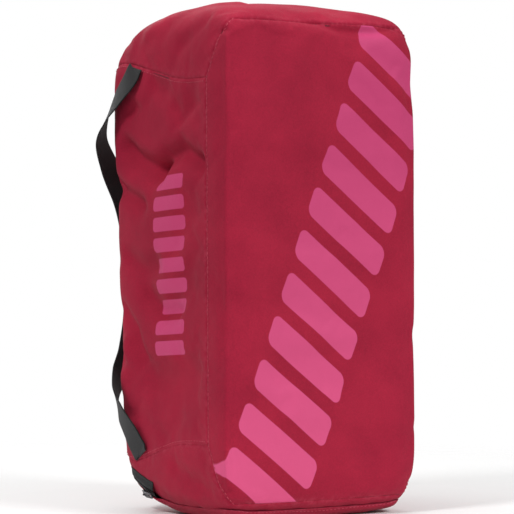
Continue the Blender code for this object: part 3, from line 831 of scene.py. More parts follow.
def black_webbing(name, ribs_apart=0.0026):
    """Polypropylene webbing, woven in a twill with ribs along its length: black, with a dull gloss on
    the ribs' crowns. Its ribs are 1.3 mm apart, drawn at twice that so that they show."""
    made, tree = new_finish(name, Sheen_Weight=0.10, Specular_IOR_Level=0.35)
    place = add(tree, "TexCoord", out="Object")
    cut = add(tree, "UVMap", uv_map="cut")
    parts = add(tree, "SeparateXYZ", (cut,), None)
    across = add(tree, "Math", (parts[0], 2 * math.pi / ribs_apart), operation="MULTIPLY")
    ribs = add(
        tree, "Math", (add(tree, "Math", (across,), operation="COSINE"), 0.5, 0.5), operation="MULTIPLY_ADD"
    )
    # the twill's picks lean one way and then the other on neighbouring ribs
    zigzag = add(tree, "Math", (parts[0], ribs_apart), operation="PINGPONG")
    picks = add(
        tree,
        "Math",
        (add(tree, "Math", (parts[1], zigzag), operation="ADD"), 2 * math.pi / 0.0024),
        operation="MULTIPLY",
    )
    picks = add(
        tree, "Math", (add(tree, "Math", (picks,), operation="SINE"), 0.5, 0.5), operation="MULTIPLY_ADD"
    )
    weave = add(
        tree,
        "Math",
        (picks, 0.45, add(tree, "Math", (ribs, 0.55), operation="MULTIPLY")),
        operation="MULTIPLY_ADD",
    )
    fuzz = add(tree, "TexNoise", {"Vector": place, "Scale": 700.0, "Detail": 3.0, "Roughness": 0.7})
    colour = add(tree, "Mix", {0: weave, 6: linear("#0b0b0c"), 7: linear("#1e1f21")}, 2, data_type="RGBA")
    colour = add(
        tree,
        "Mix",
        {0: add(tree, "MapRange", (fuzz, 0.45, 0.8, 0.0, 0.35)), 6: colour, 7: linear("#323438")},
        2,
        data_type="RGBA",
    )
    lower = add(tree, "Bump", {"Height": fuzz, "Distance": 0.0002, "Strength": 0.4})
    rough = add(tree, "MapRange", (weave, 0.0, 1.0, 0.82, 0.58))
    surface = add(tree, "Bump", {"Height": weave, "Distance": 0.0004, "Strength": 0.8, "Normal": lower})
    return worked(made, colour, rough, surface)


def black_zip_tape():
    """Knitted polyester tape, black and matt, with a herringbone about 1.4 mm wide."""
    made, tree = new_finish("knitted_zip_tape", Sheen_Weight=0.12, Specular_IOR_Level=0.3)
    place = add(tree, "TexCoord", out="Object")
    cut = add(tree, "UVMap", uv_map="cut")
    parts = add(tree, "SeparateXYZ", (cut,), None)
    zigzag = add(tree, "Math", (parts[1], 0.0014), operation="PINGPONG")
    lines = add(
        tree,
        "Math",
        (add(tree, "Math", (parts[0], zigzag), operation="ADD"), 2 * math.pi / 0.0016),
        operation="MULTIPLY",
    )
    knit = add(
        tree, "Math", (add(tree, "Math", (lines,), operation="SINE"), 0.5, 0.5), operation="MULTIPLY_ADD"
    )
    lint = add(tree, "TexNoise", {"Vector": place, "Scale": 600.0, "Detail": 4.0, "Roughness": 0.7})
    colour = add(tree, "Mix", {0: knit, 6: linear("#0c0c0d"), 7: linear("#1b1c1e")}, 2, data_type="RGBA")
    colour = add(
        tree,
        "Mix",
        {0: add(tree, "MapRange", (lint, 0.55, 0.8, 0.0, 0.4)), 6: colour, 7: linear("#3a3b3e")},
        2,
        data_type="RGBA",
    )
    rough = add(tree, "MapRange", (lint, 0.3, 0.7, 0.75, 0.9))
    surface = add(tree, "Bump", {"Height": knit, "Distance": 0.0003, "Strength": 0.7})
    return worked(made, colour, rough, surface)


def nylon_coil():
    """Coiled nylon monofilament: black, smooth and half glossy, scuffed on its crowns."""
    made, tree = new_finish("nylon_monofilament", IOR=1.53, Specular_IOR_Level=0.5)
    place = add(tree, "TexCoord", out="Object")
    scuff = add(tree, "TexNoise", {"Vector": place, "Scale": 900.0, "Detail": 4.0, "Roughness": 0.65})
    colour = add(
        tree,
        "Mix",
        {0: add(tree, "MapRange", (scuff, 0.5, 0.8, 0.0, 0.6)), 6: linear("#101012"), 7: linear("#3b3c40")},
        2,
        data_type="RGBA",
    )
    rough = add(tree, "MapRange", (scuff, 0.3, 0.8, 0.28, 0.55))
    surface = add(tree, "Bump", {"Height": scuff, "Distance": 0.0001, "Strength": 0.4})
    return worked(made, colour, rough, surface)


def black_nickel():
    """Die-cast zinc, tumbled and plated in black nickel: a dark soft-edged mirror with hairline wear,
    brighter where it rubs."""
    made, tree = new_finish("black_nickel_plate", Metallic=1.0)
    place = add(tree, "TexCoord", out="Object")
    clouds = add(tree, "TexNoise", {"Vector": place, "Scale": 120.0, "Detail": 4.0})
    stretched = add(tree, "Mapping", {"Vector": place, "Scale": (1.0, 1.0, 9.0)})
    hair = add(tree, "TexNoise", {"Vector": stretched, "Scale": 1400.0, "Detail": 2.0, "Roughness": 0.7})
    colour = add(
        tree,
        "Mix",
        {
            0: add(tree, "MapRange", (clouds, 0.35, 0.7, 0.0, 1.0)),
            6: linear("#3a3a3e"),
            7: linear("#5c5c61"),
        },
        2,
        data_type="RGBA",
    )
    colour = add(
        tree,
        "Mix",
        {0: add(tree, "MapRange", (hair, 0.62, 0.78, 0.0, 0.7)), 6: colour, 7: linear("#9b9a9c")},
        2,
        data_type="RGBA",
    )
    rough = add(tree, "MapRange", (hair, 0.3, 0.8, 0.20, 0.42))
    surface = add(tree, "Bump", {"Height": clouds, "Distance": 0.0002, "Strength": 0.25})
    return worked(made, colour, rough, surface)


def polyethylene_board():
    """Extruded high-density polyethylene: black, waxy, with a haircell grain about 1.5 mm across."""
    made, tree = new_finish("haircell_polyethylene", IOR=1.54, Specular_IOR_Level=0.45)
    place = add(tree, "TexCoord", out="Object")
    cells = add(tree, "TexVoronoi", {"Vector": place, "Scale": 650.0}, feature="DISTANCE_TO_EDGE")
    clouds = add(tree, "TexNoise", {"Vector": place, "Scale": 20.0, "Detail": 3.0})
    colour = add(tree, "Mix", {0: clouds, 6: linear("#151517"), 7: linear("#222326")}, 2, data_type="RGBA")
    rough = add(tree, "MapRange", (cells, 0.0, 0.3, 0.55, 0.42))
    surface = add(tree, "Bump", {"Height": cells, "Distance": 0.0003, "Strength": 0.6})
    return worked(made, colour, rough, surface)


def sewing_thread(name, dark, light):
    """Bonded polyester thread: two-ply, with a low gloss."""
    made, tree = new_finish(name, Sheen_Weight=0.15, Specular_IOR_Level=0.4)
    place = add(tree, "TexCoord", out="Object")
    ply = add(tree, "TexNoise", {"Vector": place, "Scale": 1500.0, "Detail": 2.0, "Roughness": 0.6})
    colour = add(
        tree,
        "Mix",
        {0: add(tree, "MapRange", (ply, 0.35, 0.7, 0.0, 1.0)), 6: linear(dark), 7: linear(light)},
        2,
        data_type="RGBA",
    )
    rough = add(tree, "MapRange", (ply, 0.3, 0.7, 0.5, 0.7))
    surface = add(tree, "Bump", {"Height": ply, "Distance": 0.0002, "Strength": 0.6})
    return worked(made, colour, rough, surface)


# ---- Things that repeat along a path, by Geometry Nodes


def bead_tree():
    """Puts rounded beads along a path: stitches, or a zip coil's turns. Its inputs are in metres."""
    tree = bpy.data.node_groups.new("beads_along_path", "GeometryNodeTree")
    face = tree.interface
    face.new_socket("Path", in_out="INPUT", socket_type="NodeSocketGeometry")
    for name in ("Pitch", "Length", "Width", "Height", "Lean", "Wobble"):
        face.new_socket(name, in_out="INPUT", socket_type="NodeSocketFloat")
    face.new_socket("Sides", in_out="INPUT", socket_type="NodeSocketInt")
    face.new_socket("Seed", in_out="INPUT", socket_type="NodeSocketInt")
    face.new_socket("Finish", in_out="INPUT", socket_type="NodeSocketMaterial")
    face.new_socket("Beads", in_out="OUTPUT", socket_type="NodeSocketGeometry")
    given = add(tree, "NodeGroupInput", out=None)
    curve = add(tree, "GeometryNodeMeshToCurve", {"Mesh": given["Path"]})
    even = add(tree, "GeometryNodeResampleCurve", {"Curve": curve, "Length": given["Pitch"]}, mode="LENGTH")
    outward = add(tree, "GeometryNodeInputNamedAttribute", {"Name": "outward"}, data_type="FLOAT_VECTOR")
    ahead = add(tree, "GeometryNodeInputTangent")
    up = add(tree, "FunctionNodeAlignRotationToVector", {"Vector": outward}, axis="Z")
    turned = add(
        tree,
        "FunctionNodeAlignRotationToVector",
        {"Rotation": up, "Vector": ahead},
        axis="X",
        pivot_axis="Z",
    )
    index = add(tree, "GeometryNodeInputIndex")
    odd = add(tree, "Math", (index, 2.0), operation="MODULO")
    lean = add(
        tree,
        "Math",
        (add(tree, "Math", (odd, 2.0, -1.0), operation="MULTIPLY_ADD"), given["Lean"]),
        operation="MULTIPLY",
    )
    chance = add(
        tree, "FunctionNodeRandomValue", {2: -1.0, 3: 1.0, "Seed": given["Seed"]}, 1, data_type="FLOAT"
    )
    lean = add(tree, "Math", (chance, given["Wobble"], lean), operation="MULTIPLY_ADD")
    euler = add(tree, "CombineXYZ", {"Z": lean})
    spin = add(tree, "FunctionNodeEulerToRotation", {0: euler})
    turned = add(
        tree, "FunctionNodeRotateRotation", {"Rotation": turned, "Rotate By": spin}, rotation_space="LOCAL"
    )
    bead = add(
        tree,
        "GeometryNodeMeshUVSphere",
        {"Segments": given["Sides"], "Rings": given["Sides"], "Radius": 0.5},
    )
    size = add(tree, "CombineXYZ", {"X": given["Length"], "Y": given["Width"], "Z": given["Height"]})
    placed = add(
        tree,
        "GeometryNodeInstanceOnPoints",
        {"Points": even, "Instance": bead, "Rotation": turned, "Scale": size},
    )
    real = add(tree, "GeometryNodeRealizeInstances", {"Geometry": placed})
    smooth = add(tree, "GeometryNodeSetShadeSmooth", {"Geometry": real})
    painted = add(tree, "GeometryNodeSetMaterial", {"Geometry": smooth, "Material": given["Finish"]})
    add(tree, "NodeGroupOutput", {"Beads": painted}, None)
    return tree


BEADS = bead_tree()


def beads(name, body, paths, finish, pitch, length, width, height, lean=0.0, wobble=0.0, sides=6):
    """One piece of beads along paths. Each path is its points and their outward directions."""
    points, outward, edges = [], [], []
    for line, normals in paths:
        start = len(points)
        points += [tuple(p) for p in line]
        outward += [tuple(n) for n in normals]
        edges += [(k, k + 1) for k in range(start, len(points) - 1)]
    mesh = bpy.data.meshes.new(name + "_path")
    mesh.from_pydata(points, edges, [])
    stored = mesh.attributes.new("outward", "FLOAT_VECTOR", "POINT")
    stored.data.foreach_set("vector", np.array(outward, np.float32).ravel())
    path = bpy.data.objects.new(name + "_path", mesh)
    bpy.context.scene.collection.objects.link(path)
    made = path.modifiers.new("beads", "NODES")
    made.node_group = BEADS
    values = {
        "Pitch": pitch,
        "Length": length,
        "Width": width,
        "Height": height,
        "Lean": lean,
        "Wobble": wobble,
        "Sides": sides,
        "Seed": SEED,
        "Finish": finish,
    }
    for item in BEADS.interface.items_tree:
        if item.in_out == "INPUT" and item.name in values:
            made[item.identifier] = values[item.name]
    bpy.context.view_layer.update()
    evaluated = path.evaluated_get(bpy.context.evaluated_depsgraph_get())
    solid = bpy.data.meshes.new_from_object(evaluated)
    solid.name = name
    path.modifiers.remove(made)
    bpy.data.objects.remove(path, do_unlink=True)
    obj = bpy.data.objects.new(name, solid)
    bpy.context.scene.collection.objects.link(obj)
    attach(obj, body)
    return obj


# ---- Zips


def u_route(share, side, half_width, low, high, corner):
    """A place on a U that opens towards low, as in the CAD model; side moves it outwards."""
    straight = high - corner - low
    bend = corner * math.pi / 2
    top = 2 * (half_width - corner)
    run = share * (2 * straight + 2 * bend + top)
    lengths = (straight, bend, top, bend, straight)
    leg = 0
    while leg < 4 and run > lengths[leg]:
        run -= lengths[leg]
        leg += 1
    if leg == 0:
        return -half_width - side, low + run
    if leg == 2:
        return corner - half_width + run, high + side
    if leg == 4:
        return half_width + side, high - corner - run
    turn, radius = run / corner, corner + side
    if leg == 1:
        return corner - half_width - radius * math.cos(turn), high - corner + radius * math.sin(turn)
    return half_width - corner + radius * math.sin(turn), high - corner + radius * math.cos(turn)


def on_lid_zip(shares, side):
    """Directions on the lid zip, side metres outwards of its middle line."""
    places = [
        u_route(s, side, LID_HALF_LENGTH, -LID_HALF_WIDTH, LID_HALF_WIDTH, LID_CORNER) for s in shares
    ]
    across, along = np.array(places).T
    return top_directions(-along, across)


def on_pocket_zip(shares, side):
    places = [u_route(s, side, POCKET_ZIP_X, POCKET_ZIP_END, POCKET_ZIP_Y, POCKET_CORNER) for s in shares]
    across, up = np.array(places).T
    return end_directions(across, up)


def zip_tape(name, body, route, low, high, outs, finish, steps=260):
    """One tape of a zip from side low to side high. outs are its heights over the shell at both."""
    shares = np.linspace(0.001, 0.999, steps)
    sides = np.linspace(low, high, 7)
    points, normals = [], []
    for side in sides:
        directions = route(shares, side)
        share = (side - low) / (high - low)
        out = outs[0] + (outs[1] - outs[0]) * smooth_step(0.1, 0.9, share)
        points.append(shell(directions, out))
        normals.append(surface_normals(directions))
    points, normals = np.array(points), np.array(normals)
    length = np.linalg.norm(np.diff(points[3], axis=0), axis=1).sum()
    u, v = np.meshgrid(shares * length, sides)
    distance = np.minimum(np.abs(v - low), np.abs(v - high))
    sheet = sheet_of(points, normals, distance, v, u)
    obj = cloth_piece(name + "_knit", sheet, [finish], thickness=0.0008, subdivide=0)
    stands_for(obj, name, rides=body)
    return obj


def zip_coil(name, body, route, out, finish):
    """The closed coil: turns of monofilament that lean one way and the other."""
    shares = np.linspace(0.001, 0.999, 500)
    directions = route(shares, 0.0)
    line, normals = shell(directions, out), surface_normals(directions)
    sizes = {"pitch": ZIP_PITCH, "length": 0.0021, "width": 0.0058, "height": 0.0021}
    obj = beads(name + "_turns", body, [(line, normals)], finish, lean=0.16, sides=8, **sizes)
    stands_for(obj, name)
    return obj


# ---- Webbing

# The handle's route from the upper end seam to the lower: clear of the side, over the top edge's
# level, share of the half length, and how far the webbing has turned from the side towards the top.
HANDLE_ROUTE = (
    (0.0002, -0.0675, 0.7955, 0),
    (0.0017, -0.0660, 0.784, 0),
    (0.0040, -0.054, 0.745, 4),
    (0.0075, -0.026, 0.670, 14),
    (0.0090, 0.000, 0.590, 32),
    (0.0070, 0.016, 0.500, 52),
    (-0.0110, 0.022, 0.390, 72),
    (-0.0340, 0.020, 0.250, 86),
    (-0.0450, 0.016, 0.100, 90),
    (-0.0470, 0.012, -0.080, 90),
    (-0.0440, 0.009, -0.240, 89),
    (-0.0340, 0.007, -0.370, 82),
    (-0.0160, 0.003, -0.470, 64),
    (-0.0010, -0.010, -0.550, 40),
    (0.0050, -0.033, -0.630, 18),
    (0.0045, -0.062, -0.715, 5),
    (0.0017, -0.0820, -0.784, 0),
    (0.0002, -0.0845, -0.7955, 0),
)


def curve_through(points, shares):
    """A Catmull-Rom curve through rows of points, at each share of their running length."""
    points = np.asarray(points, float)
    metres = points[:, :3] * (1, 1, HALF_LENGTH)
    knots = np.concatenate(([0], np.cumsum(np.linalg.norm(np.diff(metres, axis=0), axis=1) ** 0.5)))
    knots /= knots[-1]
    made = []
    for share in shares:
        index = int(np.clip(np.searchsorted(knots, share, side="right") - 1, 0, len(knots) - 2))
        near = [int(np.clip(index + k, 0, len(knots) - 1)) for k in (-1, 0, 1, 2)]
        a, b, c, d = points[near]
        ka, kb, kc, kd = knots[near]
        width = kc - kb
        slope_b = (c - a) / max(kc - ka, 1e-9) * width
        slope_c = (d - b) / max(kd - kb, 1e-9) * width
        t = (share - kb) / width
        made.append(
            (2 * t**3 - 3 * t**2 + 1) * b
            + (t**3 - 2 * t**2 + t) * slope_b
            + (-2 * t**3 + 3 * t**2) * c
            + (t**3 - t**2) * slope_c
        )
    return np.array(made)


def handle_sheet(side):
    shares = np.linspace(0, 1, 260)
    route = curve_through(HANDLE_ROUTE, shares)
    centre = np.stack((HALF_WIDTH + route[:, 0], HALF_DEPTH + route[:, 1], route[:, 2] * HALF_LENGTH), 1)
    ahead = np.gradient(centre, axis=0)
    ahead /= np.linalg.norm(ahead, axis=1)[:, None]
    lean = np.radians(route[:, 3])
    wide = np.stack((-np.sin(lean), np.cos(lean), 0 * lean), 1)
    wide -= ahead * (wide * ahead).sum(1)[:, None]
    wide /= np.linalg.norm(wide, axis=1)[:, None]
    face = np.cross(wide, ahead)
    across = np.linspace(-0.5, 0.5, 15)
    length = np.linalg.norm(np.diff(centre, axis=0), axis=1).sum()
    # the webbing cups a little and its edges waver
    middle = np.sin(shares * math.pi) ** 2
    cup = 0.0012 * middle[:, None] * (1 - 4 * across**2)
    waver = np.array(
        [noise.noise(Vector(p) * 22 + Vector((side, 2.0, 5.0))) for p in centre]
    ) * 0.0011 * middle
    points = centre[:, None] + wide[:, None] * (
        across[None, :, None] * WEBBING_WIDTH
    ) + face[:, None] * (cup + waver[:, None])[..., None]
    points = points * (side, 1, 1) + MIDDLE
    normals = np.broadcast_to((face * (side, 1, 1))[:, None], points.shape)
    u, v = np.meshgrid(across * WEBBING_WIDTH, shares * length)
    distance = WEBBING_WIDTH / 2 - np.abs(u)
    return sheet_of(points, normals, distance, u, v)


def webbing_piece(name, sheet, finish, thickness=WEBBING):
    obj = cloth_piece(name, sheet, [finish], thickness=thickness, subdivide=0)
    obj.modifiers["wall"].offset = 0
    edges = obj.modifiers.new("edges", "BEVEL")
    edges.width = 0.0005
    edges.segments = 2
    edges.limit_method = "ANGLE"
    return obj


def ring_bar(end):
    """The middle of a D-ring's bar, and the directions off the top, down the bag and along the bar."""
    here = top_directions(np.array([0.0]), np.array([end * RING_BAR_AT]))
    at, normal = bag_surface(here)[0], surface_normals(here)[0]
    down = np.array((0, 0, -1.0))
    forward = down - normal * (down @ normal)
    forward /= np.linalg.norm(forward)
    return at + normal * RING_LIFT, normal, forward, np.cross(forward, normal)


def ring_tab_sheet(end):
    """Webbing folded round the D-ring's bar, with its two tails laid flat on the top."""
    pivot, normal, forward, side = ring_bar(end)
    inner = 0.0034
    outline = [(TAB_LENGTH * s, -inner) for s in np.linspace(1, 0.02, 9)]
    turn = np.linspace(-math.pi / 2, -math.pi / 2 - 1.06 * math.pi, 18)
    outline += [(inner * math.cos(t), inner * math.sin(t)) for t in turn]
    last_y, last_z = outline[-1]
    outline += [
        (last_y + (TAB_LENGTH - last_y) * s, last_z + (-inner + 0.0019 - last_z) * smooth_step(0, 0.45, s))
        for s in np.linspace(0.06, 1, 14)
    ]
    outline = np.array(outline)
    across = np.linspace(-0.5, 0.5, 11) * TAB_WIDTH
    run = np.concatenate(([0], np.cumsum(np.linalg.norm(np.diff(outline, axis=0), axis=1))))
    points = pivot + outline[:, None, :1] * -forward + outline[:, None, 1:] * normal + across[
        None, :, None
    ] * side
    slope = np.gradient(outline, axis=0)
    slope /= np.linalg.norm(slope, axis=1)[:, None]
    facing = slope[:, 1:] * forward + slope[:, :1] * normal
    normals = np.broadcast_to(facing[:, None], points.shape)
    u, v = np.meshgrid(across, run)
    sheet = {
        "points": points,
        "normals": normals,
        "distance": TAB_WIDTH / 2 - np.abs(u),
        "uv": np.stack((u, v), -1),
    }
    rows = []
    for x in (-0.009, 0.009):
        rows.append(
            [
                pivot - forward * y + normal * (-inner + 0.0029) + side * x
                for y in np.linspace(0.010, 0.020, 6)
            ]
        )
    for y in (0.010, 0.020):
        rows.append(
            [
                pivot - forward * y + normal * (-inner + 0.0029) + side * x
                for x in np.linspace(-0.009, 0.009, 6)
            ]
        )
    return sheet, [(row, [normal] * len(row)) for row in rows]


# ---- The object's pieces


def fabric_panels(cloth, back):
    """The five sewn panels of the shell, settled together. Their sheets are returned, for the seams'
    topstitching.
    """
    plans = {
        "base_panel": panel_plan(base_directions, 0.416, 0.690, give=0.0018),
        "front_panel": panel_plan(side_directions(-1), 0.540, 0.250, give=0.0060),
        "back_panel": panel_plan(side_directions(1), 0.540, 0.250, give=0.0060),
        "upper_end_panel": panel_plan(end_panel_directions(1), 0.440, 0.295, give=0.0045),
        "lower_end_panel": panel_plan(end_panel_directions(-1), 0.440, 0.295, give=0.0030),
    }
    settle(list(plans.values()))
    sheets = {}
    for name, plan in plans.items():
        sheets[name] = sheet = sewn_panel(plan, 0.0065)
        finish = cloth.get(name, cloth["plain"])
        obj = cloth_piece(name + "_cloth", sheet, [finish, back])
        stands_for(obj, name, rides="bag")
    return sheets


def opening_outline(margin, hinge):
    """The lid opening's outline from the bag's middle, in x and z: round at the front, square at the hinge."""
    low, high, half = -LID_HALF_WIDTH - margin, LID_HALF_WIDTH + hinge, LID_HALF_LENGTH + margin
    corner = LID_CORNER + margin
    turns = np.linspace(0, math.pi / 2, 24)
    upper = [(low + corner - corner * math.sin(t), half - corner + corner * math.cos(t)) for t in turns]
    lower = [(x, -z) for x, z in upper[::-1]]
    return np.array([(high, 0), (high, half), *upper, *lower, (high, -half), (high, -1e-6)])


def outline_at(outline, angles):
    """Where rays from the middle at these angles meet an outline round it."""
    steps = []
    for start, end in zip(outline[:-1], outline[1:]):
        steps += [start + (end - start) * s for s in np.linspace(0, 1, 60, endpoint=False)]
    dense = np.array([*steps, outline[-1]])
    around = np.unwrap(np.arctan2(dense[:, 1], dense[:, 0]))
    return np.stack([np.interp(angles, around, dense[:, k]) for k in (0, 1)], 1)


def top_and_lid(cloth, back):
    """The top panel round its opening, folded under beside the zip, and the lid inside the zip."""
    opening = opening_outline(ZIP_BAND, HINGE_GAP)
    half = (LID_HALF_LENGTH + ZIP_BAND, END_SEAM_TOP * (HALF_LENGTH - END_SLANT))
    outer = np.array(
        [
            (HALF_WIDTH, 0),
            (HALF_WIDTH, half[1]),
            (-HALF_WIDTH, half[1]),
            (-HALF_WIDTH, -half[1]),
            (HALF_WIDTH, -half[1]),
            (HALF_WIDTH, -1e-6),
        ]
    )
    corners = [math.atan2(half[1], HALF_WIDTH), math.atan2(half[0], LID_HALF_WIDTH + HINGE_GAP)]
    exact = [c for a in corners for c in (a, math.pi - a, math.pi + a, 2 * math.pi - a)]
    angles = np.unique(np.round(np.concatenate((np.linspace(0, 2 * math.pi, 360), exact)), 6))
    inner_line, outer_line = outline_at(opening, angles), outline_at(outer, angles)
    shares = (stations(0.066, 0.0055) + 1) / 2
    flat = inner_line[None] + (outer_line - inner_line)[None] * shares[:, None, None]
    inner_run = np.linalg.norm(flat - inner_line[None], axis=2)
    directions = top_directions(flat[..., 0].ravel(), flat[..., 1].ravel())
    lift = ZIP_FLAP * smooth_step(0.024, 0.015, inner_run)
    points = shell(directions).reshape(*flat.shape[:2], 3)
    normals = surface_normals(directions).reshape(points.shape)
    outer_run = np.linalg.norm(outer_line[None] - flat, axis=2)
    distance = np.minimum(inner_run, outer_run)
    turned = np.where(inner_run < outer_run, 0.45, 1.0) * seam_shape(points, distance)
    points = points + normals * (lift + turned)[..., None]
    points[:, -1] = points[:, 0]
    top = sheet_of(points, normals, distance, flat[..., 0], flat[..., 1])
    obj = cloth_piece("top_panel_cloth", top, [cloth["plain"], back])
    weld(obj)
    stands_for(obj, "top_panel", rides="bag")

    edge = LID_HALF_LENGTH - ZIP_BAND
    corner = LID_CORNER - ZIP_BAND

    def lid_place(u, v):
        z = v * edge
        over = np.clip((np.abs(z) - (edge - corner)) / corner, 0, 1)
        low = -LID_HALF_WIDTH + ZIP_BAND + corner * (1 - np.sqrt(1 - over**2 + 1e-9))
        high = LID_HALF_WIDTH + HINGE_GAP
        return top_directions(low + (high - low) * (u + 1) / 2, z)

    plan = panel_plan(lid_place, 0.171, 0.418)
    width, length = plan["size"]
    us = stations(width, 0.0058)
    vs = np.sin(np.linspace(-0.5, 0.5, 90) * math.pi) * 0.5 + np.linspace(-1, 1, 90) * 0.5
    directions = directions_on(plan, us, vs)
    plain = shell(directions).reshape(len(vs), len(us), 3)
    normals = surface_normals(directions).reshape(plain.shape)
    distance = edge_distance(plain)
    lift = ZIP_FLAP * smooth_step(0.024, 0.015, distance) * smooth_step(0.998, 0.90, us)[None, :]
    shaped = plain + normals * (lift + 0.45 * seam_shape(plain, distance))[..., None]
    u, v = np.meshgrid(us * width / 2, vs * length / 2)
    lid = sheet_of(shaped, normals, distance, u, v)
    obj = cloth_piece("lid_panel_cloth", lid, [cloth["plain"], back])
    stands_for(obj, "lid_panel")
    middle = shell(top_directions(np.array([0.089, 0.080]), np.array([0.0, 0.0])))
    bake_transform(obj)
    return top, lid


def weld(obj):
    """Joins a ring's first and last columns, which lie on each other."""
    work = bmesh.new()
    work.from_mesh(obj.data)
    bmesh.ops.remove_doubles(work, verts=work.verts, dist=1e-6)
    work.to_mesh(obj.data)
    work.free()


def pocket_panel(cloth, back):
    """The pocket over the lower end, turned under at its edges."""
    side, top, low = POCKET_ZIP_X - ZIP_BAND, POCKET_ZIP_Y - ZIP_BAND, -HALF_DEPTH * 0.90
    corner = POCKET_CORNER - ZIP_BAND / 2

    def place(u, v):
        y = low + (top - low) * (v + 1) / 2
        over = np.clip((y - (top - corner)) / corner, 0, 1)
        under = np.clip(((low + corner) - y) / corner, 0, 1)
        pulled = corner * (1 - np.sqrt(1 - np.maximum(over, under) ** 2 + 1e-9))
        return end_directions(u * (side - pulled), y)

    plan = panel_plan(place, 2 * side, top - low)
    us = stations(2 * side, 0.008)
    vs = np.sin(np.linspace(-0.5, 0.5, 60) * math.pi) * 0.5 + np.linspace(-1, 1, 60) * 0.5
    directions = directions_on(plan, us, vs)
    plain = bag_surface(directions, POCKET_LIFT).reshape(len(vs), len(us), 3)
    normals = surface_normals(directions).reshape(plain.shape)
    distance = edge_distance(plain)
    rows = (vs * 0.5 + 0.5)[:, None] * (top - low) + low
    zipped = smooth_step(0.045, 0.065, rows)
    # sewn down on to the end panel below its zip, and lifted over the zip's tape above it
    down = -(POCKET_LIFT - 0.0010) * smooth_step(0.012, 0.001, distance) * (1 - zipped)
    lift = 0.0012 * smooth_step(0.022, 0.014, distance) * zipped
    ripple = np.array([noise.noise(Vector(p) * 30) for p in plain.reshape(-1, 3)]).reshape(distance.shape)
    sag = 0.0009 * ripple * smooth_step(0.010, 0.030, distance)
    shaped = plain + normals * (down + lift + sag + 0.4 * seam_shape(plain, distance))[..., None]
    shaped[..., 2] = np.maximum(shaped[..., 2], 0.0)
    u, v = np.meshgrid(us * side, vs * (top - low) / 2)
    sheet = sheet_of(shaped, normals, distance, u, v)
    obj = cloth_piece("pocket_panel_cloth", sheet, [cloth["plain"], back])
    stands_for(obj, "pocket_panel", rides="bag")
    return sheet


def binding(name, directions, finish):
    """Woven tape folded over a seam's raw edges, inside the bag."""
    normals = surface_normals(directions)
    depths = np.linspace(0.003, 0.015, 6)
    line = bag_surface(directions)
    wave = np.array([noise.noise(Vector(p) * 40) for p in line]) * 0.0012
    inward = MIDDLE - line
    inward /= np.linalg.norm(inward, axis=1)[:, None]
    points = np.array(
        [
            line - normals * 0.0022 + inward * depth * 1.15 + normals * (wave * depth / 0.015)[:, None]
            for depth in depths
        ]
    )
    length = np.linalg.norm(np.diff(line, axis=0), axis=1).sum()
    u, v = np.meshgrid(np.linspace(0, length, len(line)), depths)
    distance = np.minimum(np.abs(v - 0.003), np.abs(0.015 - v))
    sheet = {
        "points": points,
        "normals": np.broadcast_to(normals, points.shape),
        "distance": distance,
        "uv": np.stack((v, u), -1),
    }
    obj = cloth_piece(name + "_tape", sheet, [finish], thickness=0.0009, subdivide=0)
    stands_for(obj, name, rides="bag")


def bindings(finish):
    side = np.linspace(-1, 1, 60)
    for name, end in (("upper", 1), ("lower", -1)):
        u = np.concatenate((side[31:], np.ones(60), side[::-1], -np.ones(60), side[:30]))
        v = np.concatenate((-np.ones(29), side, np.ones(60), side[::-1], -np.ones(30)))
        binding("end_binding_" + name, end_panel_directions(end)(u * 0.999, v * 0.999), finish)
    along = np.linspace(-END_SEAM_BASE + 0.03, END_SEAM_BASE - 0.03, 90)
    for name, at in (("front", -1.0), ("back", 1.0)):
        directions = np.stack((np.full(90, at), np.full(90, -BASE_SEAM), along), 1)
        binding("base_binding_" + name, directions, finish)


def refined(node, body, finish, edge, smooth_angle=35):
    """A hardware node's own shape with its edges eased, in its real finish."""
    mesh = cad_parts[node].data.copy()
    mesh.name = node + "_finished"
    work = bmesh.new()
    work.from_mesh(mesh)
    bmesh.ops.remove_doubles(work, verts=work.verts, dist=2e-6)
    bmesh.ops.dissolve_limit(work, angle_limit=math.radians(2), verts=work.verts, edges=work.edges)
    work.to_mesh(mesh)
    work.free()
    mesh.materials.clear()
    mesh.materials.append(finish)
    obj = bpy.data.objects.new(mesh.name, mesh)
    bpy.context.scene.collection.objects.link(obj)
    if edge:
        eased = obj.modifiers.new("eased_edges", "BEVEL")
        eased.width = edge
        eased.segments = 3
        eased.limit_method = "ANGLE"
        eased.angle_limit = math.radians(40)
        eased.use_clamp_overlap = True
    mesh.shade_smooth()
    mesh.set_sharp_from_angle(angle=math.radians(smooth_angle))
    stands_for(obj, node, rides=body)
    return obj


